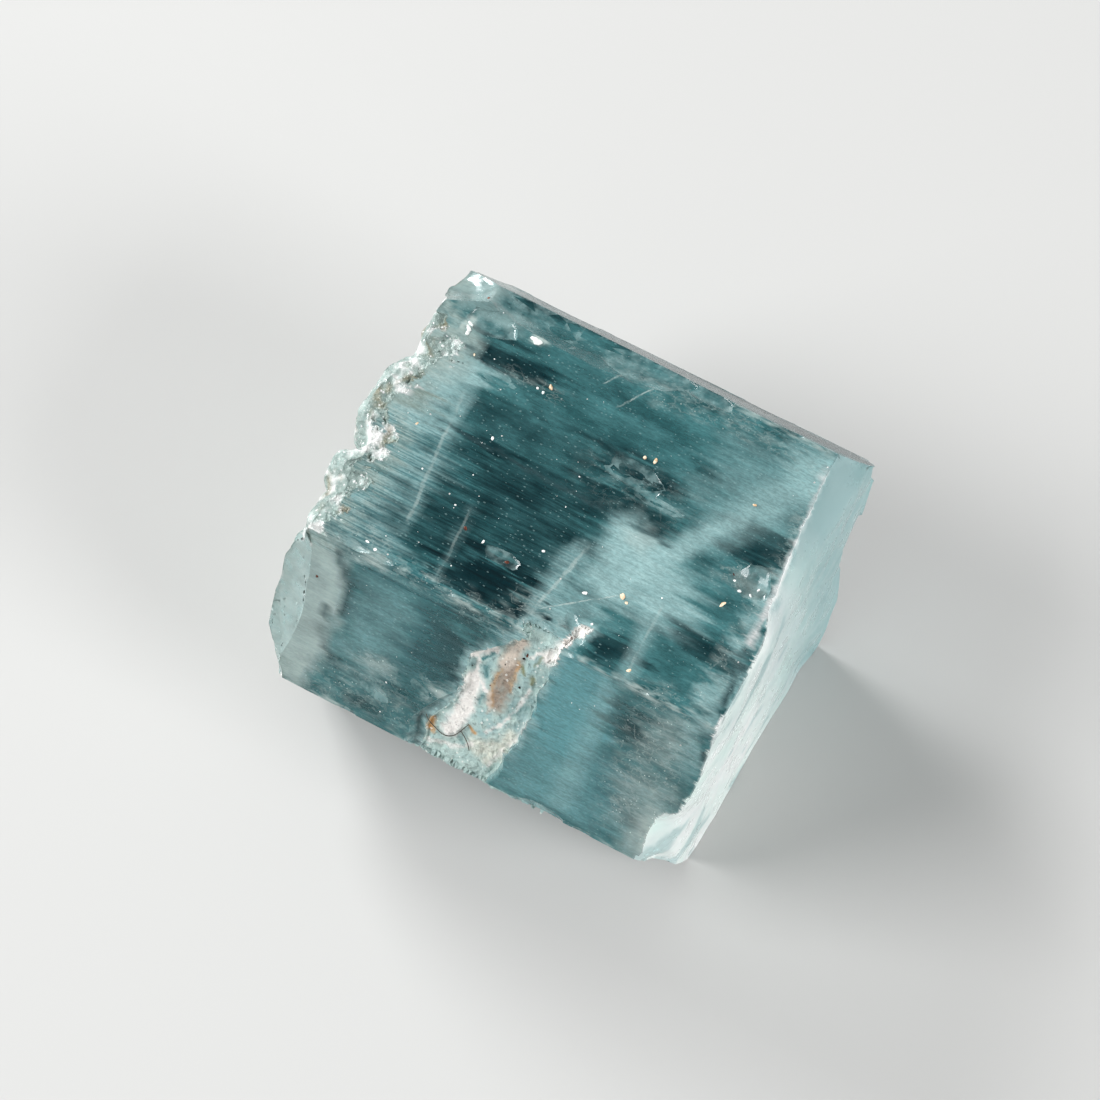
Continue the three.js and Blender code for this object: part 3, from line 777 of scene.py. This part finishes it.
def node(tree, kind, inputs=None, **settings):
    """Adds a node with its settings and its inputs."""
    made = tree.nodes.new("ShaderNode" + kind)
    for name, value in settings.items():
        setattr(made, name, value)
    fill(tree, made, inputs or {})
    return made


def fill(tree, made, inputs):
    """Gives inputs of a node their values or links."""
    for name, value in inputs.items():
        if isinstance(value, bpy.types.NodeSocket):
            tree.links.new(value, made.inputs[name])
        else:
            made.inputs[name].default_value = value


def maths(tree, operation, *values):
    return node(tree, "Math", dict(enumerate(values)), operation=operation).outputs[0]


def vector_maths(tree, operation, *values):
    return node(tree, "VectorMath", dict(enumerate(values)), operation=operation).outputs["Vector"]


def ease(tree, value, start, end, low=0.0, high=1.0):
    """A smooth step from low at start to high at end."""
    inputs = {"Value": value, "From Min": start, "From Max": end, "To Min": low, "To Max": high}
    return node(tree, "MapRange", inputs, interpolation_type="SMOOTHSTEP").outputs["Result"]


def blended(tree, share, first, second):
    inputs = {"Factor": share, FIRST_COLOUR: first, SECOND_COLOUR: second}
    return node(tree, "Mix", inputs, data_type="RGBA").outputs[MIXED_COLOUR]


def soft_noise(tree, place, squeeze=(1, 1, 1), scale=1.0, detail=3.0, roughness=0.55):
    """Noise in which lengths are divided by the squeeze along each axis."""
    squeezed = vector_maths(tree, "MULTIPLY", place, squeeze)
    inputs = {"Vector": squeezed, "Scale": scale, "Detail": detail, "Roughness": roughness}
    return node(tree, "TexNoise", inputs).outputs["Fac"]


def new_group(name, inputs, outputs):
    """A shader group, and the sockets of its inputs and outputs as its own nodes see them."""
    tree = bpy.data.node_groups.new(name, "ShaderNodeTree")
    for title, kind in inputs.items():
        tree.interface.new_socket(title, in_out="INPUT", socket_type="NodeSocket" + kind)
    for title, kind in outputs.items():
        tree.interface.new_socket(title, in_out="OUTPUT", socket_type="NodeSocket" + kind)
    return tree, tree.nodes.new("NodeGroupInput").outputs, tree.nodes.new("NodeGroupOutput").inputs


def use_group(tree, group, **inputs):
    made = node(tree, "Group", node_tree=group)
    fill(tree, made, {name.capitalize(): value for name, value in inputs.items()})
    return made.outputs


def specks(tree, place, density, size, share):
    return use_group(tree, GROUPS["specks"], place=place, density=density, size=size, share=share)["Amount"]


# ------------------------------------------------------------------ effects that materials share

# Thin white cleavage cracks that reach the top: both ends, width and strength.
CRACKS = [
    ((-4.3, 1.9), (-3.64, -2.45), 0.08, 0.35),
    ((-2.36, -1.2), (-2.15, -3.6), 0.06, 0.2),
    ((0.95, -0.6), (0.45, -3.6), 0.08, 0.45),
    ((-0.45, 3.37), (0.38, 4.78), 0.05, 0.5),
    ((-1.14, 3.83), (-0.72, 4.52), 0.04, 0.4),
    ((0.53, -2.98), (2.35, -1.5), 0.05, 0.6),
    ((3.45, -1.2), (3.6, -3.5), 0.06, 0.25),
]
CRACK_WANDER = 0.24  # how far a crack wanders aside


def crack_amount(tree, place):
    """How much of a crack's white line there is at a place on the top."""
    wander = soft_noise(tree, place, scale=1.9, detail=5.0, roughness=0.65)
    gaps = soft_noise(tree, place, (2, 1, 1), scale=1.6, detail=4.0, roughness=0.7)
    broken_up = ease(tree, gaps, 0.35, 0.6, 0.1, 1.0)
    axes = node(tree, "SeparateXYZ", {0: place}).outputs
    near_top = ease(tree, axes["Z"], TOP.reach - 0.7, TOP.reach - 0.3)
    total = 0.0
    for (x, y), (end_x, end_y), width, strength in CRACKS:
        inputs = {"Value": axes["Y"], "From Min": y, "From Max": end_y}
        share = node(tree, "MapRange", inputs, clamp=False).outputs["Result"]
        line_x = maths(tree, "MULTIPLY_ADD", share, end_x - x, x - CRACK_WANDER / 2)
        line_x = maths(tree, "MULTIPLY_ADD", wander, CRACK_WANDER, line_x)
        aside = maths(tree, "ABSOLUTE", maths(tree, "SUBTRACT", axes["X"], line_x))
        line = ease(tree, aside, width, 0.2 * width, 0.0, strength)
        ends = ease(tree, maths(tree, "ABSOLUTE", maths(tree, "SUBTRACT", share, 0.5)), 0.52, 0.42)
        total = maths(tree, "MAXIMUM", total, maths(tree, "MULTIPLY", line, ends))
    return maths(tree, "MULTIPLY", maths(tree, "MULTIPLY", total, near_top), broken_up)


def specks_group():
    """Small round specks: every cell may hold one, and Share says how many do."""
    ins = {"Place": "Vector", "Density": "Float", "Size": "Float", "Share": "Float"}
    tree, inputs, outputs = new_group("specks", ins, {"Amount": "Float"})
    cells = node(tree, "TexVoronoi", {"Vector": inputs["Place"], "Scale": inputs["Density"]}).outputs
    chance = node(tree, "SeparateXYZ", {0: cells["Color"]}).outputs
    kept = maths(tree, "LESS_THAN", chance["X"], inputs["Share"])
    reach = maths(tree, "MULTIPLY", inputs["Size"], maths(tree, "ADD", chance["Y"], 0.3))
    spot = maths(tree, "LESS_THAN", cells["Distance"], reach)
    tree.links.new(maths(tree, "MULTIPLY", spot, kept), outputs["Amount"])
    return tree


def fractures(tree, place, fractured):
    """White wisps and sparkles where the crystal is fractured."""
    ridges = soft_noise(tree, place, (1.8, 3.0, 3.0), roughness=0.6)
    wisps = ease(tree, maths(tree, "ABSOLUTE", maths(tree, "SUBTRACT", ridges, 0.5)), 0.03, 0.0, 0.0, 0.24)
    wisps = maths(tree, "MULTIPLY", wisps, fractured)
    sparkles = specks(tree, place, density=9.0, size=0.17, share=0.3)
    sparkles = maths(tree, "MULTIPLY", sparkles, maths(tree, "MULTIPLY", fractured, 0.6))
    return maths(tree, "MAXIMUM", wisps, sparkles)


def streaks_group():
    """Fine growth streaks, grit, pale grains and white fractures over the painted tint."""
    ins = {"Place": "Vector", "Tint": "Color", "Fractured": "Float", "Streaked": "Float"}
    outs = {"Color": "Color", "Fine": "Float", "White": "Float"}
    tree, inputs, outputs = new_group("growth streaks", ins, outs)
    place, tint, streaked = inputs["Place"], inputs["Tint"], inputs["Streaked"]
    fine = ease(tree, soft_noise(tree, place, (0.5, 17, 17), detail=2.0, roughness=0.6), 0.34, 0.66)
    grit = ease(tree, soft_noise(tree, place, (7, 21, 21), detail=2.0, roughness=0.7), 0.3, 0.7, 0.82, 1.18)
    drawn_out = vector_maths(tree, "MULTIPLY", place, (0.55, 1, 1))
    grains = specks(tree, drawn_out, density=15.0, size=0.26, share=0.35)
    white = fractures(tree, place, inputs["Fractured"])
    darker = vector_maths(tree, "MULTIPLY", tint, (0.38, 0.54, 0.57))
    darkening = maths(tree, "MULTIPLY", streaked, maths(tree, "SUBTRACT", 1.0, fine))
    colour = blended(tree, darkening, tint, darker)
    gritty = ease(tree, streaked, 0.0, 0.3)
    grit = maths(tree, "MULTIPLY_ADD", maths(tree, "SUBTRACT", grit, 1.0), gritty, 1.0)
    colour = vector_maths(tree, "MULTIPLY", colour, grit)
    colour = blended(tree, maths(tree, "MULTIPLY", grains, 0.25), colour, (*PALE_TEAL, 1))
    tree.links.new(blended(tree, white, colour, (*FROST, 1)), outputs["Color"])
    tree.links.new(fine, outputs["Fine"])
    tree.links.new(white, outputs["White"])
    return tree


GROUPS = {"specks": specks_group()}
GROUPS["streaks"] = streaks_group()

# ------------------------------------------------------------------ materials

BERYL_IOR = 1.58
ABSORBED = (0.04, 0.66, 0.7, 1)
ABSORPTION = 240.0


def new_material(name, transmission, roughness=0.2, gloss=0.25):
    """A material with its nodes, the shader's inputs, and the shaded point's place in the prism."""
    material = bpy.data.materials.new(name)
    material.use_nodes = True
    tree = material.node_tree
    shader = tree.nodes["Principled BSDF"].inputs
    shader["IOR"].default_value = BERYL_IOR
    shader["Specular IOR Level"].default_value = gloss
    shader["Roughness"].default_value = roughness
    shader["Transmission Weight"].default_value = transmission
    seen = node(tree, "TexCoord").outputs["Object"]
    inputs = {"Vector": seen, "Location": -PRISM_MIDDLE, "Scale": Vector((1, 1, 1)) / MILLIMETRE}
    return material, tree, shader, node(tree, "Mapping", inputs).outputs["Vector"]


def absorb(tree):
    """The teal that light takes on inside the crystal."""
    volume = node(tree, "VolumeAbsorption", {"Color": ABSORBED, "Density": ABSORPTION})
    tree.links.new(volume.outputs[0], tree.nodes["Material Output"].inputs["Volume"])


def bump(tree, height, distance):
    return node(tree, "Bump", {"Height": height, "Distance": distance * MILLIMETRE}).outputs["Normal"]


def painted_tint(tree):
    return node(tree, "Attribute", attribute_name="tint").outputs["Color"]


def streaked_beryl(tree, place):
    """The shared growth streaks, over what is painted on the crystal."""
    tint = painted_tint(tree)
    fractured = node(tree, "Attribute", attribute_name="fractured").outputs["Fac"]
    streaked = node(tree, "Attribute", attribute_name="streaked").outputs["Fac"]
    return use_group(tree, GROUPS["streaks"], place=place, tint=tint, fractured=fractured, streaked=streaked)


def skin_material():
    """The grown prism faces: glassy, streaked along the prism, with cracks and dust."""
    material, tree, shader, place = new_material("grown skin", transmission=0.5, gloss=0.12)
    absorb(tree)
    beryl = streaked_beryl(tree, place)
    cracks = crack_amount(tree, place)
    dust = specks(tree, place, density=5.5, size=0.12, share=0.05)
    colour = blended(tree, cracks, beryl["Color"], (*FROST, 1))
    tree.links.new(blended(tree, dust, colour, (*DUST, 1)), shader["Base Color"])
    white = maths(tree, "MAXIMUM", maths(tree, "MAXIMUM", beryl["White"], cracks), dust)
    tree.links.new(ease(tree, white, 0.0, 1.0, 0.14, 0.6), shader["Roughness"])
    tree.links.new(bump(tree, beryl["Fine"], 0.004), shader["Normal"])
    return material


def shell_material():
    """Shell-shaped chips: glassy, a little paler than the skin."""
    material, tree, shader, place = new_material("shell chips", transmission=0.5)
    absorb(tree)
    ripple = soft_noise(tree, place, scale=3.0, detail=2.0)
    paler = ease(tree, ripple, 0.35, 0.75, 0.05, 0.45)
    colour = blended(tree, paler, streaked_beryl(tree, place)["Color"], (*PALE_TEAL, 1))
    tree.links.new(colour, shader["Base Color"])
    tree.links.new(ease(tree, ripple, 0.3, 0.7, 0.06, 0.3), shader["Roughness"])
    tree.links.new(bump(tree, ripple, 0.02), shader["Normal"])
    return material


def broken_material():
    """The broken end: crumbly, with teal hollows and white glints."""
    material, tree, shader, place = new_material("broken end", transmission=0.25)
    absorb(tree)
    grain = soft_noise(tree, place, scale=7.0, roughness=0.7)
    glints = specks(tree, place, density=11.0, size=0.35, share=0.25)
    colour = blended(tree, ease(tree, grain, 0.55, 0.72, 0.0, 0.35), painted_tint(tree), (*TEAL, 1))
    tree.links.new(blended(tree, glints, colour, (1, 1, 1, 1)), shader["Base Color"])
    tree.links.new(ease(tree, grain, 0.3, 0.7, 0.05, 0.35), shader["Roughness"])
    tree.links.new(bump(tree, grain, 0.06), shader["Normal"])
    return material


def parted_material():
    """The parting: milky and frosted."""
    material, tree, shader, place = new_material("parted end", transmission=0.15, roughness=0.35)
    grain = soft_noise(tree, place, scale=1.3)
    colour = blended(tree, ease(tree, grain, 0.5, 0.8, 0.0, 0.2), painted_tint(tree), (*GREY_TEAL, 1))
    tree.links.new(colour, shader["Base Color"])
    tree.links.new(ease(tree, grain, 0.3, 0.7, 0.2, 0.5), shader["Roughness"])
    tree.links.new(bump(tree, grain, 0.004), shader["Normal"])
    return material


def scar_material():
    """The altered scar: dull clay and frosted ledges, with dark pores and pale grains."""
    material, tree, shader, place = new_material("altered scar", transmission=0.0, roughness=0.7)
    tint = painted_tint(tree)
    grain = soft_noise(tree, place, scale=6.0, detail=5.0, roughness=0.75)
    darker = vector_maths(tree, "MULTIPLY", tint, (0.45, 0.45, 0.45))
    colour = blended(tree, ease(tree, grain, 0.5, 0.7, 0.0, 0.9), tint, darker)
    grains = maths(tree, "MULTIPLY", specks(tree, place, density=9.0, size=0.3, share=0.25), 0.6)
    tree.links.new(blended(tree, grains, colour, (*DUST, 1)), shader["Base Color"])
    tree.links.new(ease(tree, grain, 0.3, 0.7, 0.3, 0.85), shader["Roughness"])
    tree.links.new(bump(tree, grain, 0.08), shader["Normal"])
    return material


def grain_material(name, light, dark, roughness):
    """Loose grains, grains of painted glint, dots of painted shade and the fibre: mottled between two
    colours.
    """
    material, tree, shader, place = new_material(name, transmission=0.0, roughness=roughness)
    mottle = soft_noise(tree, place, scale=9.0)
    colour = blended(tree, ease(tree, mottle, 0.35, 0.65), (*dark, 1), (*light, 1))
    tree.links.new(colour, shader["Base Color"])
    tree.links.new(bump(tree, mottle, 0.01), shader["Normal"])
    return material


# ------------------------------------------------------------------ loose grains, dots of painted shade and glint, and a fibre

# Grains that stand out, with dots of painted shade and grains of painted glint among them: on the top
# their x, y and radius, and on the near upper face their x, distance below the near top edge and radius.
RUST_ON_TOP = [
    (-2.21, -1.79, 0.05), (-0.76, -2.1, 0.055), (4.69, 0.5, 0.03), (1.8, -3.2, 0.03), (-5.2, 4.75, 0.05),
]
RUST_NEAR = [(-5.33, 1.55, 0.04), (0.15, 2.3, 0.03), (0.85, 0.9, 0.04)]
CREAM_ON_TOP = [
    (4.85, -0.41, 0.07), (2.42, -1.5, 0.07), (2.6, -1.62, 0.05), (-2.3, 3.05, 0.07), (0.95, 2.42, 0.05),
    (1.25, 2.46, 0.06), (-4.9, 0.3, 0.05), (4.2, 2.6, 0.05), (3.6, -3.3, 0.05), (-4.6, 2.9, 0.04),
]
# Painted shade: black dots on the near upper face that stand for the shade deep in the scar's pits.
SHADE_DOTS_NEAR = [
    (0.79, 1.04, 0.05), (0.94, 1.92, 0.05), (0.35, 1.5, 0.02), (-0.5, 2.0, 0.02), (-0.15, 2.9, 0.025),
]
# Dust grains, and grains that stand for glints: painted highlights at the far left corner, near (-2.5, 2.8)
# and round the pit near (5.1, 0.4).
WHITE_DUST_AND_GLINTS_ON_TOP = [
    (-5.17, 3.7, 0.08), (-5.14, 3.55, 0.1), (-5.1, 3.42, 0.07), (-3.42, 4.12, 0.08), (-3.28, 4.08, 0.1),
    (-2.6, 2.85, 0.035), (-2.4, 2.8, 0.04), (-5.5, 2.75, 0.04), (4.8, 0.35, 0.04), (5.05, 0.15, 0.05),
    (5.35, 0.22, 0.05), (5.45, 0.5, 0.04), (4.95, 0.65, 0.03), (-4.3, -3.4, 0.04), (-4.0, -3.5, 0.05),
    (-0.06, -1.36, 0.045), (-2.9, 0.9, 0.04), (1.5, -1.9, 0.05), (2.1, -2.6, 0.04), (-1.6, -1.9, 0.04),
]
SCATTERED_ON_TOP, SCATTERED_NEAR = 34, 14
SMALLEST_GRAIN = 0.009

# The fibre and its branch on the near upper face: x and distance below the near top edge.
FIBRE = [
    (-1.3, 4.15), (-1.25, 4.31), (-0.95, 4.5), (-0.69, 4.65), (-0.34, 4.47), (-0.17, 3.98), (-0.08, 3.81),
]
FIBRE_BRANCH = [(-0.24, 4.2), (-0.1, 4.35), (0.02, 4.52), (0.1, 4.75)]
FIBRE_RADIUS = 0.014
FIBRE_CLEARANCE = 0.05


def on_top(surface, x, y):
    """The place on the top below a point over it, and the way that the surface faces there."""
    return surface.ray_cast(Vector((x, y, 6)), Vector((0, 0, -1)))[:2]


def on_near_face(surface, x, below):
    """The same for the near upper face."""
    return surface.ray_cast(NEAR_EDGE + ALONG * x + NEAR_DOWN * below + NEAR_OUT, -NEAR_OUT)[:2]


def top_spots(surface, spots):
    return [(on_top(surface, x, y), radius) for x, y, radius in spots]


def near_spots(surface, spots):
    return [(on_near_face(surface, x, below), radius) for x, below, radius in spots]


def scattered_spots(surface):
    """Small dust grains all over the top and the near upper face."""
    draw = random.Random(11)
    spots = []
    for _ in range(SCATTERED_ON_TOP):
        x, y = draw.uniform(-5, 5.4), draw.uniform(-3.5, 4.6)
        spots.append((on_top(surface, x, y), SMALLEST_GRAIN + 0.02 * draw.random() ** 3))
    for _ in range(SCATTERED_NEAR):
        x, below = draw.uniform(-4.5, 5.4), draw.uniform(0.2, 5.0)
        spots.append((on_near_face(surface, x, below), SMALLEST_GRAIN + 0.018 * draw.random() ** 3))
    return spots


def grains_piece(name, material, spots, seed):
    """Small lumps, each half sunk in the surface: place, outward direction and radius."""
    draw = random.Random(seed)
    bm = bmesh.new()
    for (place, out), radius in spots:
        if place is None:
            continue
        turn = Matrix.Rotation(draw.uniform(0, 6.3), 4, "Z")
        turn = out.to_track_quat("Z", "X").to_matrix().to_4x4() @ turn
        shape = Matrix.Diagonal((draw.uniform(0.8, 1.6), draw.uniform(0.6, 1.1), 0.6, 1))
        matrix = Matrix.Translation(place) @ turn @ shape
        lump = bmesh.ops.create_icosphere(bm, subdivisions=2, radius=radius, matrix=matrix)["verts"]
        for vert in lump:
            vert.co += 0.3 * radius * noise.noise_vector(vert.co / radius)
    return finished(bm, name, [material])


def fibre_piece(name, surface, spots, material):
    """A thin thread that lies on the near upper face."""
    curve = bpy.data.curves.new(name, "CURVE")
    curve.dimensions = "3D"
    curve.bevel_depth = FIBRE_RADIUS * MILLIMETRE
    curve.bevel_resolution = 2
    curve.use_fill_caps = True
    curve.resolution_u = 6
    spline = curve.splines.new("NURBS")
    spline.points.add(len(spots) - 1)
    spline.use_endpoint_u = True
    spline.order_u = 4
    for point, (x, below) in zip(spline.points, spots):
        place, _ = on_near_face(surface, x, below)
        point.co = (*(TO_FRAME @ (place + FIBRE_CLEARANCE * NEAR_OUT)), 1)
    curve.materials.append(material)
    piece = bpy.data.objects.new(name, curve)
    bpy.context.scene.collection.objects.link(piece)
    return piece


def loose_pieces(surface):
    """The grains and threads that lie on the crystal, with black dots of painted shade and white grains of
    painted glint.
    """
    rust = grain_material("rust grains", (0.2, 0.05, 0.02), (0.05, 0.015, 0.01), 0.5)
    cream = grain_material("cream grains", (0.9, 0.78, 0.6), (0.7, 0.45, 0.25), 0.5)
    dust = grain_material("white dust and glints", (0.97, 0.96, 0.93), (0.8, 0.85, 0.84), 0.4)
    black = grain_material("black shade dots", (0.03, 0.02, 0.015), (0.005, 0.004, 0.004), 0.5)
    thread = grain_material("dark fibre", (0.09, 0.09, 0.07), (0.03, 0.03, 0.025), 0.6)
    rust_spots = top_spots(surface, RUST_ON_TOP) + near_spots(surface, RUST_NEAR)
    white_and_glint_spots = top_spots(surface, WHITE_DUST_AND_GLINTS_ON_TOP) + scattered_spots(surface)
    return [
        grains_piece("black_shade_dots", black, near_spots(surface, SHADE_DOTS_NEAR), 4),
        grains_piece("rust_grains", rust, rust_spots, 1),
        grains_piece("cream_grains", cream, top_spots(surface, CREAM_ON_TOP), 2),
        grains_piece("white_dust_and_glints", dust, white_and_glint_spots, 3),
        fibre_piece("fibre", surface, FIBRE, thread),
        fibre_piece("fibre_branch", surface, FIBRE_BRANCH, thread),
    ]


# ------------------------------------------------------------------ stage, lights and camera

# The camera round the prism's middle, with its distance in metres, its lens, and where that
# middle is in the picture.
CAMERA_AZIMUTH = 29.1
CAMERA_ELEVATION = 65.0
CAMERA_DISTANCE = 0.1281
LENS = 152.5
IMAGE_SIDE = 1100
MIDDLE_IN_IMAGE = (570.3, 574.0)

# Square lamps round the crystal: azimuth, elevation, distance and side in metres, and how
# bright the lamp's face is.
LAMPS = {
    "left lamp": (-118, 28, 0.3, 0.1, 24.5),
    "right lamp": (88, 26, 0.3, 0.14, 11.5),
    "front lamp": (-60, 35, 0.35, 0.2, 9.5),
}
SKY = (0.95, 0.98, 1.0, 1)
SKY_STRENGTH = 0.22
TABLE_GREY = (0.56, 0.56, 0.55, 1)
TABLE_ROUGHNESS = 0.8
TABLE_GAP = 0.01  # millimetres between the table and the crystal


def direction(azimuth, elevation):
    """The way from the crystal to a lamp or to the camera."""
    around, up = math.radians(azimuth), math.radians(elevation)
    return Vector((math.sin(around) * math.cos(up), -math.cos(around) * math.cos(up), math.sin(up)))


def placed(name, data, back, place):
    """Puts a lamp or the camera in its place, turned to look against the direction called back."""
    made = bpy.data.objects.new(name, data)
    made.location = place
    made.rotation_mode = "QUATERNION"
    made.rotation_quaternion = back.to_track_quat("Z", "Y")
    bpy.context.scene.collection.objects.link(made)
    return made


def make_camera():
    data = bpy.data.cameras.new("camera")
    data.sensor_width = 36
    data.lens = LENS
    data.shift_x = (IMAGE_SIDE / 2 - MIDDLE_IN_IMAGE[0]) / IMAGE_SIDE
    data.shift_y = (MIDDLE_IN_IMAGE[1] - IMAGE_SIDE / 2) / IMAGE_SIDE
    data.clip_start, data.clip_end = 0.005, 10
    back = direction(CAMERA_AZIMUTH, CAMERA_ELEVATION)
    place = PRISM_MIDDLE * MILLIMETRE + back * CAMERA_DISTANCE
    bpy.context.scene.camera = placed("camera", data, back, place)


def make_table():
    bm = bmesh.new()
    bmesh.ops.create_grid(bm, x_segments=1, y_segments=1, size=1.0)
    mesh = bpy.data.meshes.new("table")
    bm.to_mesh(mesh)
    bm.free()
    material = bpy.data.materials.new("table")
    material.use_nodes = True
    shader = material.node_tree.nodes["Principled BSDF"].inputs
    shader["Base Color"].default_value = TABLE_GREY
    shader["Roughness"].default_value = TABLE_ROUGHNESS
    mesh.materials.append(material)
    table = bpy.data.objects.new("table", mesh)
    table.location.z = -TABLE_GAP * MILLIMETRE
    bpy.context.scene.collection.objects.link(table)


def make_lights():
    world = bpy.data.worlds.new("studio")
    bpy.context.scene.world = world
    world.use_nodes = True
    sky = world.node_tree.nodes["Background"].inputs
    sky["Color"].default_value = SKY
    sky["Strength"].default_value = SKY_STRENGTH
    for name, (azimuth, elevation, distance, side, brightness) in LAMPS.items():
        data = bpy.data.lights.new(name, "AREA")
        data.shape = "SQUARE"
        data.size = side
        data.energy = brightness * math.pi * side**2
        back = direction(azimuth, elevation)
        placed(name, data, back, back * distance).visible_camera = False
    bpy.context.scene.view_settings.view_transform = "Standard"


# ------------------------------------------------------------------ the whole


def main():
    make_camera()
    make_table()
    make_lights()
    crystal, surface = crystal_piece([
        skin_material(), shell_material(), broken_material(), parted_material(), scar_material(),
    ])
    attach(crystal, "root")
    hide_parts(NODE)
    for piece in loose_pieces(surface):
        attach(piece, "root")


main()
